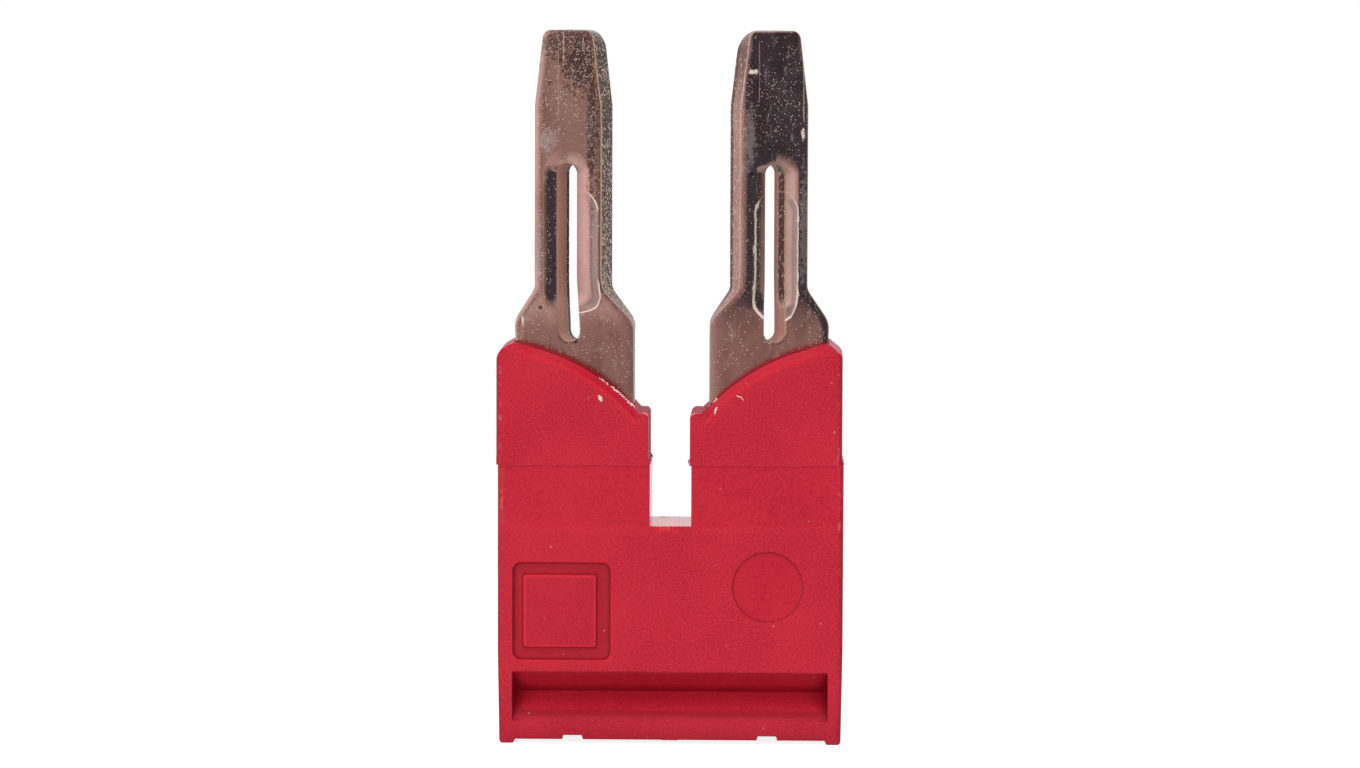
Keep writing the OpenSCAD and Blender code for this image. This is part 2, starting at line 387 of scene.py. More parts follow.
class Wiring:
    """A node tree that is wired by short calls."""

    def __init__(self, tree: bpy.types.NodeTree) -> None:
        """Keeps the tree's nodes and links."""
        self.nodes = tree.nodes
        self.links = tree.links

    def feed(self, node: bpy.types.Node, inputs: Inputs) -> None:
        """Links or sets a node's inputs.

        Args:
            node: The node.
            inputs: For each input's name or number, a value to link or to set.
        """
        for name, value in inputs.items():
            if isinstance(value, Value):
                self.links.new(value.socket, node.inputs[name])
            else:
                node.inputs[name].default_value = value

    def values(self, kind: str, inputs: Inputs, *outputs: str | int, **settings: object) -> list[Value]:
        """Adds a node and gives some of its outputs.

        Args:
            kind: The node's type.
            inputs: For each input's name or number, a value to link or to set.
            outputs: Names or numbers of the outputs.
            settings: The node's own settings.

        Returns:
            The outputs.
        """
        made = self.nodes.new(kind)
        for name, setting in settings.items():
            setattr(made, name, setting)
        self.feed(made, inputs)
        return [Value(self, made.outputs[output]) for output in outputs]

    def value(self, kind: str, inputs: Inputs, output: str | int = 0, **settings: object) -> Value:
        """Adds a node and gives one of its outputs."""
        return self.values(kind, inputs, output, **settings)[0]

    def math(self, operation: str, *values: Value | float) -> Value:
        """Result of a sum on one or two values."""
        return self.value("ShaderNodeMath", dict(enumerate(values)), operation=operation)

    def mix(self, share: Value | float, first: Value | Colour, second: Value | Colour) -> Value:
        """Colour that goes from the first to the second with a share."""
        pair = [colour if isinstance(colour, Value) else (*colour, 1.0) for colour in (first, second)]
        return self.value("ShaderNodeMix", {0: share, 6: pair[0], 7: pair[1]}, 2, data_type="RGBA")

    def noise(self, vector: Value, scale: Value | float, detail: float, twist: float = 0.0) -> Value:
        """Noise about 0.5, in finer and finer layers."""
        inputs = {"Vector": vector, "Scale": scale, "Detail": detail, "Distortion": twist}
        return self.value("ShaderNodeTexNoise", inputs, "Fac")

    def axes(self, vector: Value) -> list[Value]:
        """The three parts of a vector."""
        return self.values("ShaderNodeSeparateXYZ", {0: vector}, 0, 1, 2)

    def length(self, across: Value, up: Value) -> Value:
        """Root of the sum of two squares."""
        return self.math("SQRT", across * across + up * up)

    def stretch(self, vector: Value, factors: Triple) -> Value:
        """Vector times a factor for each axis."""
        return self.value("ShaderNodeVectorMath", {0: vector, 1: factors}, operation="MULTIPLY")

    def mark(self, name: str, output: str = "Fac") -> Value:
        """Value that the mesh carries under a name."""
        return self.value("ShaderNodeAttribute", {}, output, attribute_name=name)

    def bump(self, height: Value, strength: float, distance: float) -> Value:
        """Normal that follows a height, over a distance in millimetres."""
        inputs = {"Height": height, "Strength": strength, "Distance": distance * MM}
        return self.value("ShaderNodeBump", inputs)

    def seen(self) -> Value:
        """Tells the camera's rays, also through clear things, from all others."""
        return reduce(or_, self.values("ShaderNodeLightPath", {}, "Is Camera Ray", "Is Transmission Ray"))


class Group(Wiring):
    """A shader group that takes vectors and numbers and puts out one number."""

    def __init__(self, name: str, output: str, **usual: float | None) -> None:
        """Makes the group and the values that it takes.

        Args:
            name: Name of the group.
            output: Name of the number that it puts out.
            usual: For each input its usual number, or None for a vector.
        """
        self.tree = bpy.data.node_groups.new(name, "ShaderNodeTree")
        for label, number in usual.items():
            kind = "NodeSocketVector" if number is None else "NodeSocketFloat"
            socket = self.tree.interface.new_socket(label, in_out="INPUT", socket_type=kind)
            if number is not None:
                socket.default_value = number
        self.tree.interface.new_socket(output, in_out="OUTPUT", socket_type="NodeSocketFloat")
        super().__init__(self.tree)
        self.given = self.values("NodeGroupInput", {}, *usual)

    def close(self, result: Value) -> bpy.types.NodeTree:
        """Puts the result out and gives the finished group."""
        self.feed(self.nodes.new("NodeGroupOutput"), {0: result})
        return self.tree


class Effects:
    """Surface effects that the finishes share, each a shader group made once."""

    def __init__(self) -> None:
        """Makes the groups."""
        self.grain_group = self.make_grain()
        self.speck_group = self.make_specks()
        self.smear_group = self.make_smears()
        self.stroke_group = self.make_stroke()
        self.patch_group = self.make_patch()
        self.oval_group = self.make_oval()

    @staticmethod
    def make_grain() -> bpy.types.NodeTree:
        """Fine grain: two sizes of noise, the coarse one about twice as strong.

        Returns:
            The group.
        """
        w = Group("fine_grain", "Height", Vector=None, Size=0.05)
        vector, size = w.given
        scale, finer, share = 1.0 / size, 2.6, 0.35
        coarse, fine = w.noise(vector, scale, 2.0), w.noise(vector, scale * finer, 1.0)
        return w.close((fine - coarse) * share + coarse)

    @staticmethod
    def make_specks() -> bpy.types.NodeTree:
        """Specks: in a share of all cells, a spot whose size differs from cell to cell.

        Returns:
            The group.
        """
        w = Group("specks", "Mask", Vector=None, Size=0.08, Share=0.3, Bulk=0.0)
        vector, size, share, bulk = w.given
        least, more = 0.16, 0.32
        cells = {"Vector": vector, "Scale": 1.0 / size}
        distance, colour = w.values("ShaderNodeTexVoronoi", cells, "Distance", "Color")
        lot, growth = w.values("ShaderNodeSeparateColor", {0: colour}, 0, 1)
        radius = growth * more + (bulk + least)
        return w.close(w.math("LESS_THAN", lot, share) * (distance / radius).fall(0.5, 1.1))

    @staticmethod
    def make_smears() -> bpy.types.NodeTree:
        """Smears: noise that shows where it passes a level, with soft borders.

        Returns:
            The group.
        """
        w = Group("smears", "Mask", Vector=None, Size=1.0, Level=0.55)
        vector, size, level = w.given
        border = 0.14
        return w.close((w.noise(vector, 1.0 / size, 4.0, 0.5) - level).span(0.0, border))

    @staticmethod
    def make_stroke() -> bpy.types.NodeTree:
        """Stroke: an upright scratch that wavers, breaks up and fades at both ends.

        Returns:
            The group.
        """
        w = Group("stroke", "Mask", Vector=None, X=0.0, Z=0.0, Wide=0.02, High=1.0, Strength=1.0)
        vector, x, z, wide, high, strength = w.given
        waver = 0.06
        across, _, up = w.axes(vector)
        along = w.stretch(vector, (0.3, 0.0, 1.0))
        line = (w.noise(along, 1.6, 3.0) - 0.5) * waver + x
        body = (abs(across - line) / wide).fall(0.3, 1.0) * (abs(up - z) / high).fall(0.8, 1.0)
        whole = w.noise(along, 7.0, 2.0).span(0.3, 0.5)
        return w.close(body * whole * strength)

    @staticmethod
    def make_patch() -> bpy.types.NodeTree:
        """Patch: an upright oval with a ragged border.

        Returns:
            The group.
        """
        w = Group("patch", "Mask", Vector=None, X=0.0, Z=0.0, Wide=1.0, High=1.0, Strength=1.0)
        vector, x, z, wide, high, strength = w.given
        ragged = 2.2
        across, _, up = w.axes(vector)
        away = w.length((across - x) / wide, (up - z) / high)
        border = (w.noise(vector, 6.0, 5.0) - 0.5) * ragged + away
        return w.close(border.fall(0.45, 1.0) * strength)

    @staticmethod
    def make_oval() -> bpy.types.NodeTree:
        """Oval: distance from an upright stadium, below 0 inside it.

        Returns:
            The group.
        """
        w = Group("oval", "Distance", Vector=None, X=0.0, Half=0.7, Low=0.0, High=1.0)
        vector, x, half, low, high = w.given
        across, _, up = w.axes(vector)
        nearest = w.math("MINIMUM", up | (low + half), high - half)
        return w.close(w.length(across - x, up - nearest) - half)

    @staticmethod
    def put(w: Wiring, group: bpy.types.NodeTree, **inputs: Value | float) -> Value:
        """Adds a group to a material and gives its output."""
        return w.value("ShaderNodeGroup", inputs, node_tree=group)

    def grain(self, w: Wiring, vector: Value, size: float) -> Value:
        """Places the fine grain in a material."""
        return self.put(w, self.grain_group, Vector=vector, Size=size)

    def specks(
        self, w: Wiring, vector: Value, sizes: tuple[float, ...], share: Value | float, bulk: float = 0.0
    ) -> Value:
        """Places specks of several sizes in a material."""
        masks = (self.put(w, self.speck_group, Vector=vector, Size=s, Share=share, Bulk=bulk) for s in sizes)
        return reduce(or_, masks)

    def smears(self, w: Wiring, vector: Value, size: float, level: float) -> Value:
        """Places smears in a material."""
        return self.put(w, self.smear_group, Vector=vector, Size=size, Level=level)

    def spots(self, w: Wiring, vector: Value, group: bpy.types.NodeTree, places: tuple[Spot, ...]) -> Value:
        """Places a stroke or a patch at each of several spots and gives the greatest of them.

        Args:
            w: The material's wiring.
            vector: Places along the legs.
            group: The stroke or the patch.
            places: The spots.

        Returns:
            The mask.
        """
        masks = []
        for spot in places:
            reach = {"Wide": spot.wide, "High": spot.high, "Strength": spot.strength}
            middle = {"X": spot.x + LEG_APART * spot.hand.value, "Z": spot.z}
            masks.append(self.put(w, group, Vector=vector, **middle, **reach))
        return reduce(or_, masks)


def new_material(name: str) -> tuple[bpy.types.Material, Wiring, bpy.types.Node]:
    """Starts a material with one shader.

    Args:
        name: Name of the material.

    Returns:
        The material, its wiring and its shader.
    """
    material = bpy.data.materials.new(name)
    material.use_nodes = True
    w = Wiring(material.node_tree)
    return material, w, w.nodes["Principled BSDF"]


@dataclass(frozen=True)
class RedPlastic:
    """Matte red plastic with the fine grain of a spark-eroded mould, smoother where marked.

    The mark for painted light darkens towards painted shade above 0, lightens as a painted highlight below
    it and goes to a pale painted highlight below -1.
    """

    colour: Colour = (0.5, 0.008, 0.026)
    # Dark of the grain, and also the colour of painted shade
    deep: Colour = (0.25, 0.002, 0.012)
    pale: Colour = (0.64, 0.03, 0.055)
    # Colours of painted highlights, the second for the palest
    bright_and_painted_highlight: Colour = (0.76, 0.02, 0.035)
    painted_gleam: Colour = (0.95, 0.75, 0.77)
    dust: Colour = (0.85, 0.45, 0.42)
    grain_size: float = 0.06
    # How strongly the grain shows in the colour, and how dense and strong dust and wear are
    contrast: float = 2.6
    dust_share: float = 0.004
    wear: float = 0.3
    # Roughness of a polished surface, and what the grain adds to it
    smooth: float = 0.12
    grained: float = 0.42

    def material(self, effects: Effects) -> bpy.types.Material:
        """Builds the material.

        Args:
            effects: The shared surface effects.

        Returns:
            The material.
        """
        material, w, shader = new_material("red_plastic")
        spot = w.stretch(w.value("ShaderNodeTexCoord", {}, "Object"), (1.0 / MM,) * 3)
        rough = 1.0 - w.mark("polish")
        grain = effects.grain(w, spot, self.grain_size)
        clouds = w.noise(spot, 0.45, 3.0)
        level = (grain - 0.5) * (rough * 0.7 + 0.3) * self.contrast + (clouds * 0.5 + 0.25)
        colour = w.mix(level.span(0.0, 0.8), self.deep, self.pale)
        colour = w.mix(0.5, colour, self.colour)
        # Painted shade above 0 and painted highlights below it, on top of the grain
        tone = w.mark("tone")
        colour = w.mix(tone | 0.0, colour, self.deep)
        light = tone * -1.0
        colour = w.mix(light.span(0.0, 1.0), colour, self.bright_and_painted_highlight)
        colour = w.mix(light.span(1.0, 2.0), colour, self.painted_gleam)
        dust = effects.specks(w, spot, (0.1,), self.dust_share)
        worn = w.mark("edge") * effects.smears(w, spot, 0.25, 0.52)
        for mask in (dust, worn):
            colour = w.mix(mask * self.wear, colour, self.dust)
        sockets = {
            "Base Color": colour,
            "Roughness": rough * self.grained + self.smooth,
            "Normal": w.bump(grain * (rough * 0.85 + 0.15), 0.5, 0.012),
            "IOR": 1.5,
            "Specular IOR Level": 0.4,
        }
        w.feed(shader, sockets)
        return material


@dataclass(frozen=True)
class Coin:
    """Outline of the coined oval on one blade, and how the pale line on its edge shows: smeared tin with a
    painted highlight.

    The line fades above a height and in a stretch about another, and its left side has a strength.
    """

    x: float
    half: float
    low: float
    high: float
    fade_z: float
    faint_z: float
    faint_half: float
    left_line: float


COINS = Pair(
    Coin(0.36, 0.7, 13.72, 17.65, 17.4, 15.85, 1.0, 0.001),
    Coin(0.057, 0.717, 13.45, 17.62, 17.2, 0.0, 0.0, 1.7),
)


@dataclass(frozen=True)
class TinnedCopper:
    """Worn tin over copper: pitted and streaked faces, speckled sheared walls and bare copper edges, with
    painted sheen, highlights, shadow and reflection in places.
    """

    tin: Colour = (0.66, 0.50, 0.455)
    patina: Colour = (0.55, 0.39, 0.345)
    fleck: Colour = (0.93, 0.81, 0.68)
    haze: Colour = (0.52, 0.45, 0.48)
    # Colour of the painted sheen on the right flank of each press
    painted_sheen_colour: Colour = (0.9, 0.6, 0.54)
    copper: Colour = (0.55, 0.27, 0.205)
    edge: Colour = (0.88, 0.56, 0.37)
    torn: Colour = (0.03, 0.023, 0.021)
    pit: Colour = (0.08, 0.06, 0.06)
    # Sizes of the specks on the faces and on the sheared walls, and of the pits
    fleck_sizes: tuple[float, ...] = (0.055, 0.034)
    torn_sizes: tuple[float, ...] = (0.1, 0.06)
    pit_sizes: tuple[float, ...] = (0.3,)
    # Heights between which the flecks on the faces grow dense and those on torn walls thin out
    crowd_z: tuple[float, float] = (18.6, 21.0)
    thin_z: tuple[float, float] = (15.0, 22.0)
    # Half width of the coined ovals' line, which smears can double, and how far the line wavers
    line_w: float = 0.03
    line_waver: float = 0.08
    scratches: tuple[Spot, ...] = (
        Spot(Hand.LEFT, -0.285, 20.9, 0.03, 1.8, 0.35),
        Spot(Hand.LEFT, -0.115, 22.2, 0.024, 0.5),
        Spot(Hand.LEFT, 0.56, 22.25, 0.02, 0.25),
        Spot(Hand.RIGHT, -0.55, 21.4, 0.02, 1.05, 0.6),
        Spot(Hand.RIGHT, 0.96, 20.7, 0.03, 1.0),
    )
    smudges: tuple[Spot, ...] = (
        Spot(Hand.LEFT, -0.67, 19.2, 0.42, 0.45),
        Spot(Hand.LEFT, -1.0, 20.7, 0.16, 0.16),
        Spot(Hand.LEFT, 0.8, 19.55, 0.13, 0.6),
        Spot(Hand.LEFT, -0.98, 15.6, 0.14, 1.6),
        Spot(Hand.RIGHT, -0.85, 19.3, 0.22, 1.2),
        Spot(Hand.RIGHT, 0.86, 22.2, 0.14, 0.4, 0.6),
        Spot(Hand.RIGHT, 0.98, 16.4, 0.17, 2.4),
    )
    stains: tuple[Spot, ...] = (
        Spot(Hand.LEFT, 0.0, 22.35, 1.3, 0.75, 0.75),
        Spot(Hand.LEFT, 0.5, 21.7, 0.85, 1.25),
        Spot(Hand.LEFT, 0.88, 19.8, 0.24, 3.0, 0.9),
        Spot(Hand.LEFT, -0.58, 21.0, 0.09, 0.09),
    )
    chips: tuple[Spot, ...] = (
        Spot(Hand.RIGHT, -0.75, 21.4, 0.16, 0.12),
        Spot(Hand.RIGHT, 0.94, 19.4, 0.08, 0.2),
        Spot(Hand.LEFT, -1.62, 13.45, 0.05, 0.24, 0.7),
    )

    def coin_marks(self, w: Wiring, effects: Effects, spot: Value) -> tuple[Value, Value]:
        """Pale line round each coined oval, smeared tin with a painted highlight, and the dull band just
        inside it.

        Args:
            w: The material's wiring.
            effects: The shared surface effects.
            spot: Places along the legs.

        Returns:
            The masks of the line and of the band.
        """
        waver = (w.noise(spot, 2.2, 3.0) - 0.5) * self.line_waver
        width = effects.smears(w, spot, 0.4, 0.5) * self.line_w + self.line_w
        x, _, z = w.axes(spot)
        lines, bands = [], []
        for hand in Hand:
            coin = COINS[hand]
            middle = coin.x + LEG_APART * hand.value
            shape = {"X": middle, "Half": coin.half, "Low": coin.low, "High": coin.high}
            away = effects.put(w, effects.oval_group, Vector=spot, **shape) + waver
            across = x - middle
            shown = z.span(coin.fade_z, coin.fade_z + 0.2, 1.0, 0.2)
            clear = abs(z - coin.faint_z).span(coin.faint_half, coin.faint_half + 0.25, 0.15, 1.0)
            nearness = abs(away) / (width * across.span(-0.1, 0.1, coin.left_line, 1.0))
            lines.append(nearness.fall(0.4, 1.0) * (shown * clear))
            inside = away.span(-0.28, -0.1) * away.fall(-0.03, 0.0)
            bands.append(inside * across.span(0.1, 0.3) * shown)
        return reduce(or_, lines), reduce(or_, bands)

    def material(self, effects: Effects) -> bpy.types.Material:
        """Builds the material.

        Args:
            effects: The shared surface effects.

        Returns:
            The material.
        """
        material, w, shader = new_material("tinned_copper")
        spot = w.mark("place", "Vector")
        shear_and_painted_shade, bare, rub_and_painted_reflection, flake, painted_sheen = (w.mark(name) for name in ("shear_and_painted_shade", "bare", "rub_and_painted_reflection", "flake", "painted_sheen"))
        _, depth, height = w.axes(spot)
        front = depth.fall(-0.1, 0.1)
        line, band = (mask * front for mask in self.coin_marks(w, effects, spot))
        patches = (self.stains, self.smudges, self.chips)
        masks = (effects.spots(w, spot, effects.patch_group, places) for places in patches)
        dark, smudge, chip = (mask * front for mask in masks)
        scratch = effects.spots(w, spot, effects.stroke_group, self.scratches) * front

        crowd = effects.smears(w, spot, 1.1, 0.42) * height.span(*self.crowd_z, 0.14, 0.42)
        share = dark * 0.35 + (smudge * 0.3 + 0.07 + crowd)
        flecks = effects.specks(w, spot, self.fleck_sizes, share, 0.04) * 0.7 * (1.0 - shear_and_painted_shade)
        dense = shear_and_painted_shade.span(0.87, 1.0) * height.span(*self.thin_z, 0.85, 0.42)
        sparse = shear_and_painted_shade.span(0.2, 0.3) * shear_and_painted_shade.span(0.4, 0.8, 0.3, 0.12)
        grains = flecks | effects.specks(w, spot, self.torn_sizes, dense | sparse, 0.14)
        pits = effects.specks(w, spot, self.pit_sizes, 0.02)
        haze = effects.smears(w, w.stretch(spot, (1.6, 1.0, 0.55)), 0.55, 0.6)
        haze = haze | band | (smudge * 0.8)
        stain = effects.smears(w, w.stretch(spot, (1.0, 1.0, 0.4)), 0.8, 0.48)
        # The painted sheen is weaker in the coined band
        painted_sheen = painted_sheen * band.span(0.0, 1.0, 1.0, 0.25)
        # Pale marks: the coined line with its painted highlight, chips, scratches, shavings and the painted
        # highlight along the inner edges
        bright_and_painted_highlight = (line * rub_and_painted_reflection.fall(0.2, 0.5)) | chip | flake | (scratch * 0.6)

        # Masks with their strengths and colours, from the lowest layer to the topmost
        layers = (
            (stain, self.patina),
            # Painted sheen on the right flanks
            (painted_sheen, self.painted_sheen_colour),
            (haze * 0.65, self.haze),
            (dark * 0.85, self.pit),
            # Dark of the sheared walls, which also paints the shadow round the slot's lower end
            (shear_and_painted_shade.span(0.0, 0.9, 0.0, 0.95), self.torn),
            (pits * 0.8, self.pit),
            # Copper where the tin is worn through, also painted over the reflection above the slot's upper
            # end
            (rub_and_painted_reflection, self.copper),
            (grains * 0.9, self.fleck),
            (bare, self.edge),
            (bright_and_painted_highlight, self.fleck),
        )
        colour = self.tin
        for mask, over in layers:
            colour = w.mix(mask, colour, over)
        matte = bare | rub_and_painted_reflection | painted_sheen | bright_and_painted_highlight | (grains * 0.65) | (haze * 0.3)
        relief = effects.grain(w, spot, 0.04) * (shear_and_painted_shade * 0.8 + 0.12) + grains
        sockets = {
            "Base Color": colour,
            "Metallic": matte * -0.7 + 1.0,
            "Roughness": matte * 0.35 + 0.2,
            "Normal": w.bump(relief, 0.3, 0.01),
        }
        w.feed(shader, sockets)
        return material


@dataclass(frozen=True)
class Ring:
    """One contour of a mark in the front face."""

    half: float
    corner: float
    depth: float
    polish: float = 0.0
    # Painted light: painted shade above 0, painted highlight below it
    tone: float = 0.0
    shift: float = 0.0


@dataclass
class Window:
    """A square opening in the front grid, filled with the rings of a mark."""

    x: float
    z: float
    half: float
    lines: Array
    rings: list[Ring]

    def cells(self, xs: Array, zs: Array) -> Array:
        """Tells which cells of the front grid lie in the opening.

        Args:
            xs: The grid's lines across.
            zs: Its lines up.

        Returns:
            True for each cell in the opening.
        """
        across = np.abs((xs[1:] + xs[:-1]) / 2 - self.x) < self.half
        along = np.abs((zs[1:] + zs[:-1]) / 2 - self.z) < self.half
        return along[:, None] & across[None, :]

    def border(self, points: Array, xs: Array, zs: Array) -> Array:
        """Points of the front grid round the opening, from its lower left corner and back to it.

        Args:
            points: Points of the front grid.
            xs: Its lines across.
            zs: Its lines up.

        Returns:
            The points in order.
        """
        left, right = (int(np.argmin(np.abs(xs - self.x - s * self.half))) for s in (-1, 1))
        low, high = (int(np.argmin(np.abs(zs - self.z - s * self.half))) for s in (-1, 1))
        ring = [
            points[low, left:right],
            points[low:high, right],
            points[high, right:left:-1],
            points[high:low:-1, left],
            points[low, left : left + 1],
        ]
        return np.concatenate(ring)

    def contour(self, heading: Array, ring: Ring) -> Array:
        """Points of a rounded square on rays from its middle.

        A ray meets a straight side at the half side. In a corner it meets the corner's circle, at
        the larger root of the square equation for the distance along the ray.

        Args:
            heading: Directions whose larger part is 1.
            ring: The contour's half side and corner radius.

        Returns:
            The points about the middle.
        """
        c = np.abs(heading)
        k = ring.half - ring.corner
        dot = c.sum(axis=1) * k
        square = (c * c).sum(axis=1)
        root = np.sqrt(np.maximum(dot * dot - square * (2 * k * k - ring.corner**2), 0.0))
        straight = ring.half * c.min(axis=1) <= k
        reach = np.where(straight, ring.half, (dot + root) / square)
        return heading * reach[:, None]

    def fill(self, shell: Shell, points: Array, xs: Array, zs: Array, front_y: float) -> None:
        """Adds the mark's rings to a shell, from the opening's border to the middle.

        Args:
            shell: The shell that takes the rings.
            points: Points of the front grid.
            xs: Its lines across.
            zs: Its lines up.
            front_y: Y of the front face.
        """
        border = self.border(points, xs, zs)
        offset = border[:, [0, 2]] - (self.x, self.z)
        heading = offset / np.abs(offset).max(axis=1, keepdims=True)
        rows = [border]
        for ring in self.rings:
            flat = self.contour(heading, ring)
            rows.append(stack(self.x + ring.shift + flat[:, 0], front_y + ring.depth, self.z + flat[:, 1]))
        even = np.ones(len(border))
        polish = np.outer([0.0] + [ring.polish for ring in self.rings], even)
        # Painted light of each ring
        tone = np.outer([0.0] + [ring.tone for ring in self.rings], even)
        shell.grid(np.stack(rows), polish=polish, tone=tone)


@dataclass
class Housing:
    """The red moulding: head with pull-out trough, block over the bar and two ears."""

    node: str = "insulating_housing"
    pole_x: float = 3.1
    slot_half: float = 0.66
    slot_floor_z: float = 6.98
    corner_r: float = 0.2
    edge_r: float = 0.045
    # Head: drawn-in sides, foot rails, pole notches and the cut-off gate
    head_h: float = 3.0
    draft: float = 0.05
    draft_from: float = 5.15
    foot_h: float = 0.13
    foot_in: float = 4.92
    foot_slope: float = 0.1
    foot_r: float = 0.12
    notch_w: float = 0.62
    notch_h: float = 0.13
    notch_slope: float = 0.05
    gate_half: float = 0.28
    gate_h: float = 0.025
    low_z: float = 0.45
    # Pull-out trough, and the rounding of its lip and of its other edges
    trough_z: float = 0.79
    trough_h: float = 1.52
    trough_valley: float = 0.8
    trough_depth: float = 0.9
    trough_half: float = 5.02
    trough_wall: float = 0.03
    lip_blend: float = 0.1
    edge_blend: float = 0.03
    # Painted shade in the trough: all of it, its lip and its ends, and a painted highlight on the sill below
    # it
    trough_painted_shade: float = 0.2
    lip_painted_shade: float = 0.4
    end_painted_shade: float = 0.8
    sill_painted_highlight: float = 0.3
    # Marks in the front face
    recess_w: float = 3.12
    recess_rise: float = 0.37
    recess_r: float = 0.27
    recess_depth: float = 0.17
    recess_polish: float = 0.4
    pad_w: float = 2.31
    pad_depth: float = 0.07
    pad_shift: float = -0.06
    ejector_r: float = 1.11
    ejector_z: float = 5.05
    ejector_depth: float = 0.04
    ejector_polish: float = 0.8
    # Ears: arc, fall outside the leg and step beside the centre slot
    arc_r: float = 6.58
    arc_inset: float = 0.5
    arc_drop: float = 2.22
    fall_h: Pair[float] = Pair(0.6, 0.45)
    fall_power: Pair[float] = Pair(0.38, 0.6)
    step_w: float = 0.34
    step_r: float = 0.16
    # Bevel under the arc, which grows shallow from a place across
    bevel_w: float = 0.25
    bevel_slope: float = 0.8
    bevel_end: float = 4.2
    # Smooth band, and the upper mould half that closed a little to the left of the lower one
    band_h: float = 1.92
    band_set: float = 0.03
    mould_shift: float = -0.05
    # Rows near the parting line, the height that its step takes, the ridge above it and the flash
    part_rows: tuple[float, ...] = (-0.12, -0.06, -0.03, -0.015, 0.0, 0.012, 0.03, 0.06, 0.1, 0.16, 0.24)
    part_h: float = 0.012
    ridge_h: float = 0.012
    ridge_rise: float = 0.03
    ridge_w: float = 0.02
    flash: float = 0.12
    # Bead of flash, by its height above the parting line, and a fainter seam above the slot's floor
    bead_rise: float = 0.09
    bead_w: float = 0.07
    seam_rise: float = 0.2
    seam_w: float = 0.04
    seam_share: float = 0.4
    # Y of the walls' rows outside the pocket, and the strength of the painted highlight on the front edge
    # and the first row at the step
    wall_rows: tuple[float, ...] = (-1.32, -0.76, 0.76, 1.0)
    step_painted_gleam: tuple[float, float] = (2.3, 1.7)
    # Pocket for the comb
    base_half: float = 1.9
    bar_z: float = 3.0
    bar_h: float = 3.2
    sheet_half: float = 0.5
    gap: float = 0.02
    # Sizes that follow from the others
    half_w: float = field(init=False)
    half_d: float = field(init=False)
    ear_z: float = field(init=False)
    arc_x: float = field(init=False)
    arc_z: float = field(init=False)
    step_x: float = field(init=False)
    step_z: float = field(init=False)
    band_z: float = field(init=False)
    open_in: float = field(init=False)
    open_out: float = field(init=False)
    pocket_y: float = field(init=False)
    marks: list[Window] = field(init=False)
    xs: Array = field(init=False)
    zs: Array = field(init=False)

    def __post_init__(self) -> None:
        """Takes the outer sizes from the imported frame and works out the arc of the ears."""
        _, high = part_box(self.node)
        self.half_w, self.half_d, self.ear_z = (v / MM for v in high)
        outer = np.array([self.half_w - self.arc_inset, self.ear_z])
        inner = np.array([self.slot_half + self.step_w, self.ear_z - self.arc_drop])
        self.arc_x, self.arc_z = arc_middle(outer, inner, self.arc_r)
        self.step_x, self.step_z = inner
        self.band_z = self.slot_floor_z + self.band_h
        self.open_in = self.pole_x - self.base_half - self.gap
        self.open_out = self.pole_x + self.base_half + self.gap
        self.pocket_y = self.sheet_half + self.gap
        self.marks = [self.recess(), self.ejector()]
        self.xs = self.lines_across()
        self.zs = self.lines_up()

    def recess(self) -> Window:
        """The square recess with its plain pad, from its rounded edge to the pad's middle.

        Returns:
            The mark.
        """
        half, pad, floor, top = self.recess_w / 2, self.pad_w / 2, self.recess_depth, self.pad_depth
        edge, r, shift, polish = 0.03, self.recess_r, self.pad_shift, self.recess_polish
        # The fifth number of each ring is its painted light: painted highlights on the recess's edge and
        # round the pad, painted shade in the moat between them
        rings = [
            Ring(half + edge, r + edge, 0.0, 0.0, -0.3),
            Ring(half + 0.3 * edge, r + 0.3 * edge, 0.3 * edge, 0.3, -0.3),
            Ring(half, r, edge, polish, 0.2),
            Ring(half - 0.02, r - 0.02, floor - edge, polish, 0.75),
            Ring(half - 0.03, r - 0.03, floor - 0.3 * edge, polish, 0.75),
            Ring(half - 0.1, r - 0.1, floor, polish, 0.42),
            Ring(pad + 0.09, 0.13, floor, polish, 0.42, shift),
            Ring(pad + 0.03, 0.11, floor - 0.3 * edge, polish, 0.8, shift),
            Ring(pad + 0.02, 0.1, floor - edge, polish, 0.6, shift),
            Ring(pad, 0.09, top + edge, polish, -0.5, shift),
            Ring(pad - 0.3 * edge, 0.08, top + 0.3 * edge, polish, -0.6, shift),
            Ring(pad - 1.5 * edge, 0.07, top, polish, -0.4, shift),
            Ring(pad - 3.5 * edge, 0.06, top, polish, 0.12, shift),
        ]
        rings += [Ring(pad * s, 0.06 * s, top, polish, 0.12, shift) for s in (0.7, 0.4, 0.0)]
        window = half + 0.09
        corner = window * (half - r) / half
        lines = np.concatenate([np.linspace(-corner, corner, 13), np.linspace(corner, window, 8)])
        lines = np.unique(np.concatenate([lines, -lines]).round(6))
        place = self.trough_z + self.trough_h + self.recess_rise + half
        return Window(half - self.trough_half, place, window, lines, rings)

    def ejector(self) -> Window:
        """The round mark of an ejector pin, from its edge to its middle.

        Returns:
            The mark.
        """
        r, depth, polish, edge = self.ejector_r, self.ejector_depth, self.ejector_polish, 0.02
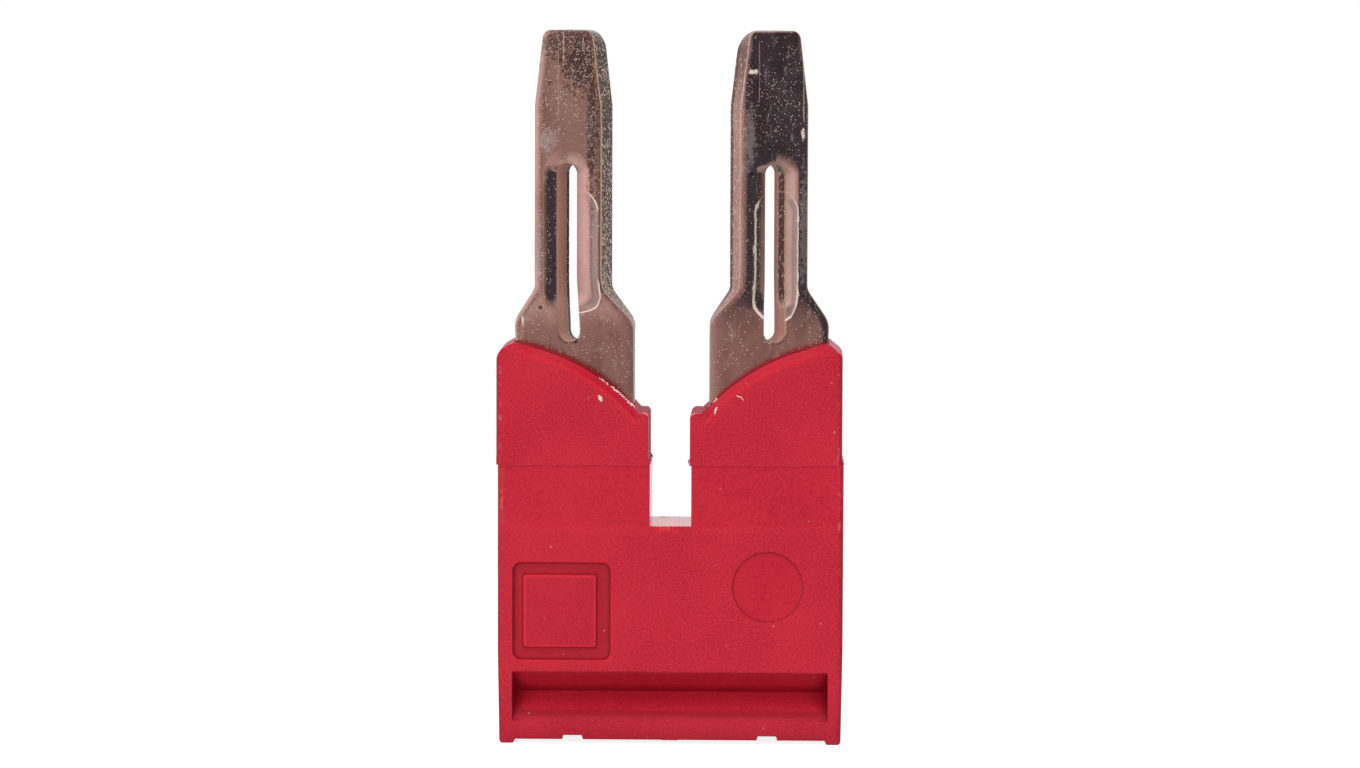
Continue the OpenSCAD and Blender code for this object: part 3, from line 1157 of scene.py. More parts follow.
        # Each size with its share of the depth and its painted light, which paints a line of shade along the
        # edge
        sizes = [(r + 2 * edge, 0.0, 0.0), (r + 0.5 * edge, 0.1, 0.7), (r, 0.7, 0.7), (r - edge, 1.0, 0.3)]
        sizes += [(r - 3 * edge, 1.0, 0.0)] + [(r * share, 1.0, 0.0) for share in (0.66, 0.33, 0.0)]
        rings = [Ring(size, size, share * depth, share * polish, tone) for size, share, tone in sizes]
        window = r + 0.12
        lines = window * np.tan(np.linspace(-math.pi / 4, math.pi / 4, 27))
        return Window(self.pole_x, self.ejector_z, window, lines, rings)

    def lines_across(self) -> Array:
        """Grid lines across the poles, close together where the faces bend.

        Returns:
            The lines in rising order.
        """
        turn = np.sin(np.linspace(0.0, math.pi / 2, 7))
        notch = np.linspace(-0.5, 0.5, 5) * self.notch_slope
        one_side = merge_lines(
            np.array([self.open_in, self.open_out, self.step_x, self.slot_half, self.half_w]),
            self.trough_half + np.linspace(-2.0, 2.0, 9) * self.trough_wall / 2,
            self.half_w - roll_lines(self.corner_r, 8),
            self.slot_half + roll_lines(self.edge_r, 5),
            self.slot_half + roll_lines(self.step_r, 7),
            self.half_w - self.foot_r * (1.0 - turn),
            np.linspace(self.foot_in, self.foot_in + self.foot_slope, 6),
            self.pole_x - self.notch_w / 2 + notch,
            self.pole_x + self.notch_w / 2 + notch,
            np.linspace(self.open_in, self.open_out, 26),
            apart=0.004,
        )
        middle = np.linspace(-self.gate_half, self.gate_half, 17)
        marks = [mark.x + mark.lines for mark in self.marks]
        return merge_lines(*marks, one_side, -one_side, middle, apart=0.004)

    def lines_up(self) -> Array:
        """Grid lines from the foot up to the floor of the centre slot.

        Returns:
            The lines in rising order.
        """
        bend = np.linspace(-0.06, 0.06, 7)
        return merge_lines(
            *[mark.z + mark.lines for mark in self.marks],
            np.array([0.0, self.low_z, self.slot_floor_z]),
            roll_lines(self.edge_r, 5),
            self.trough_z + np.linspace(-0.3, 0.35, 14),
            self.trough_z + self.trough_valley + bend,
            self.trough_z + self.trough_h + bend,
            np.linspace(self.low_z, self.slot_floor_z, 24),
            apart=0.012,
        )

    def half_at(self, z: Array) -> Array:
        """Half width at a height: straight above the head, drawn in evenly towards the foot."""
        share = np.clip((z - self.foot_h) / (self.head_h - self.foot_h), 0.0, 1.0)
        return self.half_w - self.draft * (1.0 - share)

    def drawn_in(self, x: Array, z: Array) -> Array:
        """Places across after the draft, which takes only the lines near the sides along."""
        share = np.clip((np.abs(x) - self.draft_from) / (self.half_w - self.draft_from), 0.0, 1.0)
        return x - np.sign(x) * share * (self.half_w - self.half_at(z))

    def bottom(self, x: Array) -> Array:
        """Height of the underside: foot rails with a rounded outer edge, notches and the gate's stub.

        Args:
            x: Places across the poles.

        Returns:
            The height at each of them.
        """
        a = np.abs(x)
        rail = self.foot_h * fade(a, self.foot_in, self.foot_slope)
        from_notch = np.abs(a - self.pole_x) - self.notch_w / 2
        notch = self.notch_h * fade(from_notch / self.notch_slope, -0.5)
        outer = corner_cut(a - (self.half_w - self.foot_r), self.foot_r)
        stub = self.gate_h * ripple(6.0 * x) * fade(a, 0.8 * self.gate_half, 0.2 * self.gate_half)
        return rail + notch + outer - stub

    def trough(self, x: Array, z: Array) -> Array:
        """Depth of the trough: the lesser of two slopes, rounded at the valley and at both edges.

        Args:
            x: Places across the poles.
            z: Heights.

        Returns:
            The depth at each of them.
        """
        rise = z - self.trough_z
        low = rise * self.trough_depth / self.trough_valley
        high = (self.trough_h - rise) * self.trough_depth / (self.trough_h - self.trough_valley)
        slope = high - above_zero(high - low, self.edge_blend)
        blend = np.where(rise < self.trough_valley / 2, self.lip_blend, self.edge_blend)
        near = fade(np.abs(rise - self.trough_h / 2) - self.trough_h / 2, 0.1, 0.2)
        ends = fade((np.abs(x) - self.trough_half) / self.trough_wall, -0.5)
        return above_zero(slope, blend) * near * ends

    def block(self, face: Face) -> tuple[Array, dict[str, Array]]:
        """Points of one broad face from the foot to the floor of the centre slot.

        The face is a depth over the grid lines: the trough, and the rolled edges at the sides and
        along the bottom.

        Args:
            face: Front or back.

        Returns:
            The points and their marks.
        """
        xs, zs = self.xs[None, :], self.zs[:, None]
        floor = self.bottom(xs)
        z = np.where(zs < self.low_z, floor + (self.low_z - floor) * zs / self.low_z, zs + 0.0 * xs)
        x = self.drawn_in(xs, z)
        side = rolled(self.half_at(z) - np.abs(x), self.corner_r, self.corner_r)
        edge = rolled(z - floor, self.edge_r, self.edge_r)
        trough = self.trough(x, z)
        depth = np.maximum(side, edge) + trough
        rise = z - self.trough_z
        above = rise - self.trough_valley
        # Painted shade in the trough, deepest along the valley line and at the ends, and a painted highlight
        # on the sill below the lip
        lip = ease(rise, 0.02, 0.05) * fade(rise, 0.2, 0.08)
        line = bell(above, np.where(above > 0.0, 0.16, 0.03))
        ends = bell(self.trough_half - np.abs(x), 0.3)
        inside = ease(trough, 0.0, 0.05)
        sill = self.sill_painted_highlight * bell(rise + 0.02, 0.03) * (np.abs(x) < self.trough_half)
        shade = np.maximum.reduce([self.trough_painted_shade + self.lip_painted_shade * lip, line, self.end_painted_shade * ends])
        marks = {
            "polish": 0.3 * inside,
            "edge": ease(edge, 0.0, self.edge_r),
            "tone": inside * shade - sill * (1.0 - inside),
        }
        return stack(x, face.value * (self.half_d - depth), z), marks

    def ear_top(self, hand: Hand, a: Array) -> Array:
        """Height of the ear's outline: step beside the slot, arc over the leg and a fall outside it.

        Args:
            hand: Left or right.
            a: Distances from the middle.

        Returns:
            The height at each of them.
        """
        arc = self.arc_z + np.sqrt(self.arc_r**2 - (a - self.arc_x) ** 2)
        share = np.clip((a - self.open_out) / (self.half_w - self.open_out), 0.0, 1.0)
        fall = self.ear_z - self.fall_h[hand] * (1.0 - (1.0 - share) ** self.fall_power[hand])
        step = self.step_z - corner_cut(self.slot_half + self.step_r - a, self.step_r)
        over = np.where(a > self.open_out, fall, np.minimum(arc, self.ear_z))
        return np.where(a < self.step_x, step, over)

    def ear_rows(self, a: Array, top: Array) -> Array:
        """Heights of an ear's rows: even up to the lower edge of the bevel, and from there to the arc.

        Args:
            a: Distances of the columns from the middle.
            top: Height of the outline in each column.

        Returns:
            The heights, row by row.
        """
        low = self.slot_floor_z
        part = self.band_z + np.array(self.part_rows)
        rounded = low + np.array([0.0, 0.01, 0.03, 0.08])
        fixed = np.concatenate([rounded, np.linspace(low + 0.3, part[0] - 0.2, 6), part])[:, None]
        crease = self.arc_z + np.sqrt((self.arc_r - self.bevel_w) ** 2 - (a - self.arc_x) ** 2)
        middle = np.minimum(np.where(a < self.step_x, top - 0.3, crease), top - 0.09)
        rise = np.linspace(0.0, 1.0, 14)[1:, None]
        bevel = np.linspace(0.0, 1.0, 9)[1:-1, None]
        rows = [
            fixed + 0.0 * a,
            fixed[-1] + (middle - fixed[-1]) * rise,
            middle + (top - self.edge_r - middle) * bevel,
            top - roll_lines(self.edge_r, 6)[:, None],
        ]
        return np.concatenate(rows)

    def ear(self, face: Face, hand: Hand) -> tuple[Array, dict[str, Array]]:
        """Points of one broad face of an ear, from the floor of the centre slot to its outline.

        The face is a depth over the rows: the band, the ridge at the parting line, the bevel and
        the rolled edges.

        Args:
            face: Front or back.
            hand: Left or right.

        Returns:
            The points, with columns from the left, and their marks.
        """
        chosen = self.xs[self.xs * hand.value > self.slot_half - SEAM]
        a = np.abs(chosen)[None, :]
        top = self.ear_top(hand, a)
        z = self.ear_rows(a, top)
        x = chosen[None, :] + 0.0 * z
        band = ease(z, self.slot_floor_z, 0.03) * fade(z, self.band_z, self.part_h)
        ridge = bell(z - self.band_z - self.ridge_rise, self.ridge_w) * ripple(3.1 * x) ** 2
        reach = np.hypot(a - self.arc_x, z - self.arc_z) - self.arc_r + self.bevel_w
        along = ease(a, self.step_x, 0.1) * (1.0 - 0.8 * ease(a, self.bevel_end, 0.9))
        bevel = self.bevel_slope * above_zero(reach, 0.02) * along * ease(z, self.step_z - 0.6, 0.3)
        side = rolled(self.half_w - a, self.corner_r, self.corner_r)
        upper = rolled(0.8 * (top - z), self.edge_r, self.edge_r)
        edge = np.maximum(upper, rolled(a - self.slot_half, self.edge_r, self.edge_r))
        depth = self.band_set * band - self.ridge_h * ridge + bevel + np.maximum(side, edge)
        worn = ease(edge, 0.0, self.edge_r)
        # Painted light: painted shade in the nook where the bevel meets the step, painted highlights on the
        # ridge, along the bevel's crease and on the step's rounded edge
        nook = 0.8 * bell(a - self.step_x - 0.1, 0.14) * bell(z - self.step_z + 0.05, 0.09)
        corner = bell(self.half_w - a - 0.12, 0.04)
        painted_gleam = 1.9 * worn * (a < self.step_x) * ease(z, self.band_z, 0.1)
        marks = {
            "polish": np.maximum.reduce([0.6 * band, ease(reach, 0.0, 0.03) * along, worn]),
            "edge": worn + 0.5 * ridge + 0.6 * corner,
            "tone": nook - 0.35 * ridge - 0.6 * bell(reach + 0.03, 0.05) * along - painted_gleam,
        }
        return stack(x, face.value * (self.half_d - depth), z), marks

    def outline(self, face: Face) -> Array:
        """Closed loop of points round one broad face, from the left foot over both ears and back.

        Args:
            face: Front or back.

        Returns:
            The points in order.
        """
        block, _ = self.block(face)
        left, _ = self.ear(face, Hand.LEFT)
        right, _ = self.ear(face, Hand.RIGHT)
        floor = block[-1][np.abs(self.xs) < self.slot_half + SEAM]
        parts = [block[0], block[1:, -1], right[1:, -1], right[-1, -2::-1], right[-2::-1, 0]]
        parts += [floor[-2::-1], left[1:, -1], left[-1, -2::-1], left[-2::-1, 0], block[-2::-1, 0]]
        return np.concatenate(parts)

    def settle(self, points: Array) -> Array:
        """Mould shift and flash, as a move across that depends on the place alone.

        Above the parting line the outer and slot walls move by the shift. Just above it they also
        bulge by an uneven bead of flash.

        Args:
            points: Points of the housing.

        Returns:
            The moved points.
        """
        x, y, z = points.T
        a = np.abs(x)
        outer = ease(a, self.open_out, 0.2)
        inner = fade(a, self.slot_half, self.open_in - self.slot_half)
        over = ease(z, self.band_z, self.part_h)
        bead = bell(z - self.band_z - self.bead_rise, self.bead_w) * ripple(1.7 * y, 0.9 * x) ** 3
        seam = bell(z - self.slot_floor_z - self.seam_rise, self.seam_w) * ripple(2.3 * y, 0.6 * x) ** 4
        near_side = ease(a, self.half_w - 0.12, 0.1)
        near_slot = fade(a, self.slot_half, 0.1) * ease(z, self.slot_floor_z, 0.3)
        push = np.sign(x) * self.flash * ((bead + self.seam_share * seam) * near_side - bead * near_slot)
        return stack(x + self.mould_shift * over * np.maximum(outer, inner) + push, y, z)

    def rim(self, shell: Shell) -> None:
        """Adds the walls between the two broad faces, open where the legs come out.

        Args:
            shell: The shell that takes the walls.
        """
        front, back = self.outline(Face.FRONT), self.outline(Face.BACK)
        levels = np.sort([*self.wall_rows, -self.pocket_y, 0.0, self.pocket_y])
        points = np.stack([front] + [stack(front[:, 0], y, front[:, 2]) for y in levels] + [back])
        middle = (front[1:] + front[:-1]) / 2
        a = np.abs(middle[:, 0])
        leg = (a > self.open_in) & (a < self.open_out) & (middle[:, 2] > self.slot_floor_z + 1.0)
        inside = np.abs(levels[1:] + levels[:-1]) / 2 < self.pocket_y
        keep = ~(np.concatenate([[False], inside, [False]])[:, None] & leg[None, :])
        edge = np.zeros(points.shape[:2])
        edge[[0, -1]] = 0.6
        upper = ease(points[..., 2], self.band_z, 0.1)
        across = np.abs(points[..., 0])
        outside = across > self.open_out + SEAM
        # Painted light on the walls: a faint painted highlight outside the ears, painted shade on the tops
        # above the band, a painted reflection below it and a painted highlight on the step's front edge
        tone = np.where(outside, -0.2, 1.2 * upper - 0.8)
        step = upper * (across < self.step_x - SEAM)
        tone[:2] -= np.array(self.step_painted_gleam)[:, None] * step[:2]
        shell.grid(points, keep, polish=np.where(outside, 0.5, 1.0 - upper), edge=edge, tone=tone)

    def pocket(self, shell: Shell) -> None:
        """Adds the room for the comb: a U of the bar and both legs, carried from front to back.

        Args:
            shell: The shell that takes the pocket.
        """
        low, high = self.bar_z - self.gap, self.bar_z + self.bar_h + self.gap
        inside = (np.abs(self.xs) > self.open_in - SEAM) & (np.abs(self.xs) < self.open_out + SEAM)
        tops = {hand: self.xs[inside & (self.xs * hand.value > 0)] for hand in Hand}
        left, right = (np.stack([x, self.ear_top(hand, np.abs(x))], axis=1) for hand, x in tops.items())
        inner = np.array([[-self.open_in, high], [self.open_in, high]])
        outer = np.array([[self.open_out, low], [-self.open_out, low]])
        loop = np.concatenate([left, inner, right, outer])
        for y in (-self.pocket_y, self.pocket_y):
            shell.polygon(stack(loop[:, 0], y, loop[:, 1]))
        depth = np.array([[-self.pocket_y], [0.0], [self.pocket_y]])
        for path in ([left[-1:], inner, right[:1]], [right[-1:], outer, left[:1]]):
            wall = np.concatenate(path)
            shell.grid(stack(wall[None, :, 0], depth, wall[None, :, 1]))

    def build(self, finish: bpy.types.Material) -> bpy.types.Object:
        """Sews the faces, marks, walls and pocket into one piece and dresses it.

        Args:
            finish: The red plastic.

        Returns:
            The piece.
        """
        shell = Shell(polish=1, edge=1, tone=1)
        for face in Face:
            points, marks = self.block(face)
            keep = np.ones((len(self.zs) - 1, len(self.xs) - 1), bool)
            if face is Face.FRONT:
                for mark in self.marks:
                    keep &= ~mark.cells(self.xs, self.zs)
                    mark.fill(shell, points, self.xs, self.zs, -self.half_d)
            shell.grid(points, keep, **marks)
            for hand in Hand:
                ear, ear_marks = self.ear(face, hand)
                shell.grid(ear, **ear_marks)
        self.rim(shell)
        self.pocket(shell)
        shell.points = [self.settle(points) for points in shell.points]
        piece = shell.sew("housing_moulding", 38.0)
        piece.data.materials.append(finish)
        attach(piece, "root")
        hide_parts(self.node)
        return piece


@dataclass
class Comb:
    """The tinned copper stamping: a bar and two legs with turned, slotted and pressed blades."""

    node: str = "contact_comb"
    pole_x: float = 3.1
    sheet_half: float = 0.5
    bar_z: float = 3.0
    bar_h: float = 3.2
    shoulder_z: float = 13.44
    flare_h: float = 1.16
    flare_fillet: float = 0.25
    shoulder_round: float = 0.2
    blade_half: float = 1.16
    blade_l: float = 5.7
    tip_half: float = 0.865
    tip_r: float = 0.25
    # Corner radius of the tips at the back, and the share of its cut that shows
    tip_back_r: Pair[float] = Pair(0.58, 0.72)
    tip_back_share: float = 0.85
    turn: float = 20.5
    turn_z: float = 12.9
    turn_h: float = 2.1
    # Full slant of the slot's walls: its start below the slot, its height and its reach beside the slot
    slant_lead: float = 0.9
    slant_h: float = 0.7
    slant_gap: float = 0.1
    slant_w: float = 0.5
    # How far the left blade was turned off its leg's axis
    blade_shift: Pair[float] = Pair(-0.09, 0.0)
    # Die roll along the outer and inner edges, the base and the top
    roll_w: float = 0.3
    roll_d: float = 0.15
    inner_roll_w: float = 0.25
    inner_roll_d: float = 0.1
    base_roll_w: float = 0.34
    top_roll: float = 0.12
    # How much narrower the inner roll is at the tip, over what height, and how much flatter at the base
    tip_narrow: float = 0.6
    tip_narrow_h: float = 1.5
    base_flat: float = 0.7
    # Height above the bar over which the rolls start
    roll_start: float = 0.6
    # Strength of the bare copper along the left and right edges, and of the painted highlight along the
    # inner ones
    bare_edges: Pair[tuple[float, float]] = Pair((0.0, 0.8), (0.0, 0.7))
    painted_edge_highlight: Pair[float] = Pair(0.0, 0.6)
    # Width of these lines on the face, and down the wall as a share of its depth
    edge_line_w: float = 0.025
    wall_line_w: float = 0.04
    # Shares of the slot wall's depth between which it is torn, and the height from which it is
    slot_torn: Pair[tuple[float, float, float]] = Pair((0.7, 1.5, 12.0), (-0.3, 0.5, 13.6))
    # Share of a burnished wall's depth and height up it from which it is torn after all
    burnish_share: float = 0.6
    burnish_z: float = 19.5
    # Slot, with the strength of the bare line round it, the press along it with a painted sheen on its right
    # flank, and the coined ovals
    slot_half: float = 0.333
    slot_low: float = 12.78
    slot_high: float = 18.46
    slot_edge: float = 0.03
    slot_line: float = 0.45
    press_w: float = 0.48
    press_d: float = 0.32
    press_power: float = 1.25
    press_low: float = 13.7
    press_full: float = 14.4
    press_end: float = 0.3
    flank_painted_sheen: float = 0.5
    coin_depth: float = 0.03
    coin_edge: float = 0.03
    # Distance below the coined oval's upper end from which it fades, and the height that this takes
    coin_end: float = 0.9
    coin_fade: float = 0.7
    # Borders between the base, the slotted part and the tip of a leg
    base_z: float = 11.6
    tip_z: float = 19.6
    # Rows up the slotted part, and rows across a sheared wall
    leg_rows: int = 140
    wall_rows: int = 19
    # Sizes that follow from the others, and the columns of a leg as shares of its half width
    base_half: float = field(init=False)
    top_z: float = field(init=False)
    bar_top: float = field(init=False)
    neck_z: float = field(init=False)
    taper_z: float = field(init=False)
    columns: Array = field(init=False)

    def __post_init__(self) -> None:
        """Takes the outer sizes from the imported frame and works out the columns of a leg."""
        _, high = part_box(self.node)
        self.base_half = high.x / MM - self.pole_x
        self.top_z = high.z / MM
        self.bar_top = self.bar_z + self.bar_h
        self.neck_z = self.shoulder_z + self.flare_h
        self.taper_z = self.neck_z + self.blade_l
        edge = roll_lines(1.0, 9) * self.roll_w / self.blade_half
        one_side = merge_lines(1.0 - edge, np.linspace(0.0, 0.8, 9), apart=0.01)
        self.columns = merge_lines(one_side, -one_side, apart=0.005)

    def half_width(self, z: Array) -> Array:
        """Half width of a leg at a height: base, flare with rounded ends, blade and taper.

        Args:
            z: Heights.

        Returns:
            The half width at each of them.
        """
        t = np.minimum(bent((z - self.shoulder_z) / self.flare_h, self.shoulder_round), 1.0)
        f = self.flare_fillet
        flare = np.where(t <= 1.0 - f, t / (1.0 - f / 2), 1.0 - (1.0 - t) ** 2 / (f * (2.0 - f)))
        taper = np.clip((z - self.taper_z) / (self.top_z - self.taper_z), 0.0, 1.0)
        blade = self.blade_half + (self.tip_half - self.blade_half) * taper
        return np.where(z < self.taper_z, self.base_half + (self.blade_half - self.base_half) * flare, blade)

    def front_half(self, z: Array) -> Array:
        """Half width of the front, which the round corners of the tip take in."""
        return self.half_width(z) - corner_cut(z - self.top_z + self.tip_r, self.tip_r)

    def back_share(self, hand: Hand, z: Array) -> Array:
        """Width of the back as a share of the front's, less than 1 at the tip's rounder back corners.

        Args:
            hand: Which leg.
            z: Heights.

        Returns:
            The share at each height.
        """
        r = self.tip_back_r[hand]
        back = self.half_width(z) - self.tip_back_share * corner_cut(z - self.top_z + r, r)
        return back / self.front_half(z)

    def edge_depth(self, hand: Hand, x: Array, z: Array) -> Array:
        """Depth of the die roll along the front edges: an ellipse outside and a flat parabola inside.

        Args:
            hand: Which leg.
            x: Places across the leg.
            z: Heights.

        Returns:
            The depth at each of them.
        """
        wide = fade(z, self.shoulder_z, self.flare_h)
        gap = self.front_half(z) - np.abs(x)
        outer = rolled(gap, self.roll_w + (self.base_roll_w - self.roll_w) * wide, self.roll_d)
        narrow = 1.0 - self.tip_narrow * ease(z, self.tip_z, self.tip_narrow_h)
        width = narrow * (self.inner_roll_w + (self.base_roll_w - self.inner_roll_w) * wide)
        depth = narrow * self.inner_roll_d * (1.0 - self.base_flat * wide)
        inner = depth * np.clip(1.0 - gap / width, 0.0, 1.0) ** 2
        side = np.where(x * hand.value > 0.0, outer, inner)
        top = rolled(self.top_z - z, self.top_roll, self.top_roll)
        return np.maximum(side, top) * ease(z, self.bar_top, self.roll_start)

    def press_depth(self, x: Array, z: Array) -> Array:
        """Depth of the press round the slot: a power of the nearness to its edge, weaker at both ends.

        Args:
            x: Places across the leg.
            z: Heights.

        Returns:
            The depth at each of them.
        """
        nearness = np.clip(1.0 - self.from_slot(x, z) / self.press_w, 0.0, 1.0)
        low = ease(z, self.press_low, self.press_full - self.press_low)
        high = ease(z, self.slot_high - self.slot_half, self.slot_half)
        end = np.where(z > self.neck_z, self.press_end, 0.0)
        return self.press_d * nearness**self.press_power * np.maximum(low * (1.0 - 0.6 * high), end)

    def from_slot(self, x: Array, z: Array) -> Array:
        """Distance from the slot's edge."""
        return from_stadium(x, z, self.slot_half, self.slot_low, self.slot_high)

    def coin(self, hand: Hand, x: Array, z: Array) -> Array:
        """Step of the coined oval, from the distance to its outline; it fades at its upper end.

        Args:
            hand: Which leg.
            x: Places across the leg.
            z: Heights.

        Returns:
            The depth at each of them.
        """
        oval = COINS[hand]
        away = from_stadium(x - oval.x, z, oval.half, oval.low, oval.high)
        shown = fade(z, oval.high - self.coin_end, self.coin_fade)
        return self.coin_depth * fade(away, -0.02, self.coin_edge) * shown

    def front(self, hand: Hand, x: Array, z: Array) -> tuple[Array, Array, dict[str, Array]]:
        """Front surface of a leg before its turn.

        Args:
            hand: Which leg.
            x: Places across the leg.
            z: Heights.

        Returns:
            The Y of the sheet, the depth that is pressed into it and its marks.
        """
        from_slot = self.from_slot(x, z)
        slot = rolled(from_slot, self.slot_edge, self.slot_edge)
        rim = bell(self.front_half(z) - np.abs(x), self.edge_line_w) * ease(z, self.bar_top, 2.0)
        bare = rim * np.where(x < 0.0, *self.bare_edges[hand])
        edge = self.edge_depth(hand, x, z)
        press = self.press_depth(x, z)
        pressed = np.maximum(press + self.coin(hand, x, z) - edge, 0.0)
        # Copper brown painted over the reflection above the slot's upper end, and a painted shadow round its
        # lower end
        arc = fade(from_slot, 0.048, 0.12) * ease(z, self.slot_high - 0.3, 0.25)
        shade = bell(from_slot, 0.07) * fade(z, self.slot_low + 0.15, 0.2)
        # Marks: bare copper, the brown above the slot as a painted reflection, the shadow below it in the
        # dark of sheared walls, a painted sheen on the right flank and a painted highlight on the inner edge
        marks = {
            "bare": np.maximum(bare, self.slot_line * bell(from_slot, self.slot_edge)),
            "rub_and_painted_reflection": 0.5 * arc,
            "shear_and_painted_shade": 0.7 * shade,
            "painted_sheen": self.flank_painted_sheen * ease(press / self.press_d, 0.0, 0.35) * (x > 0),
            "flake": self.painted_edge_highlight[hand] * rim * (x * hand.value < 0),
        }
        return edge + slot - self.sheet_half, pressed, marks

    def turned(self, hand: Hand, points: Array, pressed: Number) -> Array:
        """Leg's points after the blade is turned, pressed and moved to its pole.

        A section turns about the leg's axis, by an angle that grows smoothly over the flare. Near
        the slot the walls keep the full slant down to the slot's lower end. The press then pushes
        straight back, so that it moves no edge sideways.

        Args:
            hand: Which leg.
            points: Points of the straight leg.
            pressed: Depth of the press at each of them.

        Returns:
            The points in the part's frame.
        """
        x, y, z = np.moveaxis(points, -1, 0)
        full = hand.value * math.radians(self.turn)
        share = ease(z, self.turn_z, self.turn_h)
        lean = full * share
        slant = full * ease(z, self.slot_low - self.slant_lead, self.slant_h)
        near = fade(np.abs(x), self.slot_half + self.slant_gap, self.slant_w)
        shear = lean + (slant - lean) * near
        across = x * np.cos(lean) - y * np.sin(shear) + self.blade_shift[hand] * share
        back = x * np.sin(lean) + y * np.cos(lean) + pressed
        return stack(hand.value * self.pole_x + across, back, z)

    def add(self, shell: Shell, hand: Hand, points: Array, pressed: Number = 0.0, **marks: Number) -> None:
        """Adds a grid of a straight leg to the shell, turned, with its place along the sheet kept."""
        place = points + (LEG_APART * hand.value, 0.0, 0.0)
        shell.grid(self.turned(hand, points, pressed), place=place, **marks)

    def add_face(self, shell: Shell, hand: Hand, x: Array, z: Array) -> None:
        """Adds the front and the back of a stretch of a leg.

        Args:
            shell: The shell that takes the grids.
            hand: Which leg.
            x: Places across the leg.
            z: Heights.
        """
        y, pressed, marks = self.front(hand, x, z)
        self.add(shell, hand, stack(x, y, z), pressed, **marks)
        self.add(shell, hand, stack(x * self.back_share(hand, z), self.sheet_half, z))

    def wall_marks(self, hand: Hand, wall: Wall, share: Array, z: Array) -> dict[str, Array]:
        """Speckle and worn copper of a sheared wall.

        Args:
            hand: Which leg.
            wall: How the die left the wall.
            share: Shares of the wall's depth, from the front.
            z: Heights along the wall.

        Returns:
            The marks at each share and height.
        """
        if wall is Wall.TORN:
            return {"shear_and_painted_shade": np.ones_like(share), "rub_and_painted_reflection": np.zeros_like(share)}
        if wall is Wall.BURNISHED:
            deep = np.maximum(ease(share, self.burnish_share, 0.2), 0.7 * ease(z, self.burnish_z, 2.5))
            return {"shear_and_painted_shade": 0.3 + 0.6 * deep, "rub_and_painted_reflection": 0.5 * (1.0 - deep)}
        start, end, low = self.slot_torn[hand]
        deep = ease(share, start, 0.15) * fade(share, end, 0.3) * ease(z, low, 0.7)
        return {"shear_and_painted_shade": 0.86 * deep, "rub_and_painted_reflection": 0.85 * (1.0 - deep)}

    def add_wall(self, shell: Shell, hand: Hand, x: Array, z: Array, wall: Wall = Wall.TORN) -> None:
        """Adds the sheared wall along a line of the outline, from the front's edge to the back.

        Args:
            shell: The shell that takes the grid.
            hand: Which leg.
            x: Places of the line across the leg.
            z: Its heights.
            wall: How the die left the wall.
        """
        y, pressed, marks = self.front(hand, x, z)
        share = np.linspace(0.0, 1.0, self.wall_rows)[:, None] + 0.0 * x[None, :]
        across = x * (1.0 + (self.back_share(hand, z) - 1.0) * share)
        points = stack(across, y + (self.sheet_half - y) * share, z[None, :])
        line = bell(share, self.wall_line_w) * marks["bare"]
        worn = self.wall_marks(hand, wall, share, z)
        self.add(shell, hand, points, pressed * (1.0 - share), bare=line, **worn)

    def slotted_part(self, shell: Shell, hand: Hand) -> None:
        """Adds the stretch of a leg with the slot.

        Its points lie on rays that leave the slot's middle line square to the slot's edge. Along a
        ray they follow the press near the slot and the die roll near the outline.

        Args:
            shell: The shell that takes the grids.
            hand: Which leg.
        """
        zs = np.linspace(self.base_z, self.tip_z, self.leg_rows)
        low_x, high_x = (self.columns * self.half_width(z) for z in (self.base_z, self.tip_z))
        low_z, high_z = (np.full(len(self.columns) - 1, z) for z in (self.base_z, self.tip_z))
        side = self.half_width(zs)
        path_x = np.concatenate([low_x[:-1], side[:-1], high_x[:0:-1], -side[::-1]])
        path_z = np.concatenate([low_z, zs[:-1], high_z, zs[::-1]])
        root = np.clip(path_z, self.slot_low + self.slot_half, self.slot_high - self.slot_half)
        length = np.hypot(path_x, path_z - root)
        ray_x, ray_z = path_x / length, (path_z - root) / length
        near = merge_lines(roll_lines(self.slot_edge, 4), np.arange(0.05, 0.49, 0.0175), apart=0.004)
        share = np.linspace(0.0, 1.0, 6)[1:-1, None]
        start = self.slot_half + near[-1]
        inside = self.slot_half + near[:, None] + 0.0 * length
        between = start + (length - self.roll_w - start) * share
        outside = length - roll_lines(self.roll_w, 10)[:, None]
        reach = np.concatenate([inside, between, outside])
        self.add_face(shell, hand, reach * ray_x, root + reach * ray_z)
        self.add_wall(shell, hand, self.slot_half * ray_x, root + self.slot_half * ray_z, Wall.SLOT)

    def plain_part(self, shell: Shell, hand: Hand, zs: Array) -> None:
        """Adds a stretch of a leg without a slot: lines across, in step with its half width."""
        x = self.columns[None, :] * self.front_half(zs)[:, None]
        self.add_face(shell, hand, x, zs[:, None] + 0.0 * x)

    def outline(self, shell: Shell, hand: Hand) -> None:
        """Adds the sheared walls along both sides and the top of a leg.

        Args:
            shell: The shell that takes the walls.
            hand: Which leg.
        """
        slotted = np.linspace(self.base_z, self.tip_z, self.leg_rows)
        zs = merge_lines(self.tip_lines(), slotted, self.base_lines())
        half = self.front_half(zs)
        top = self.columns[::-1] * half[-1]
        self.add_wall(shell, hand, half, zs)
        self.add_wall(shell, hand, top, np.full(len(top), zs[-1]))
        left_wall = Wall.BURNISHED if hand is Hand.RIGHT else Wall.TORN
        self.add_wall(shell, hand, -half[::-1], zs[::-1], left_wall)

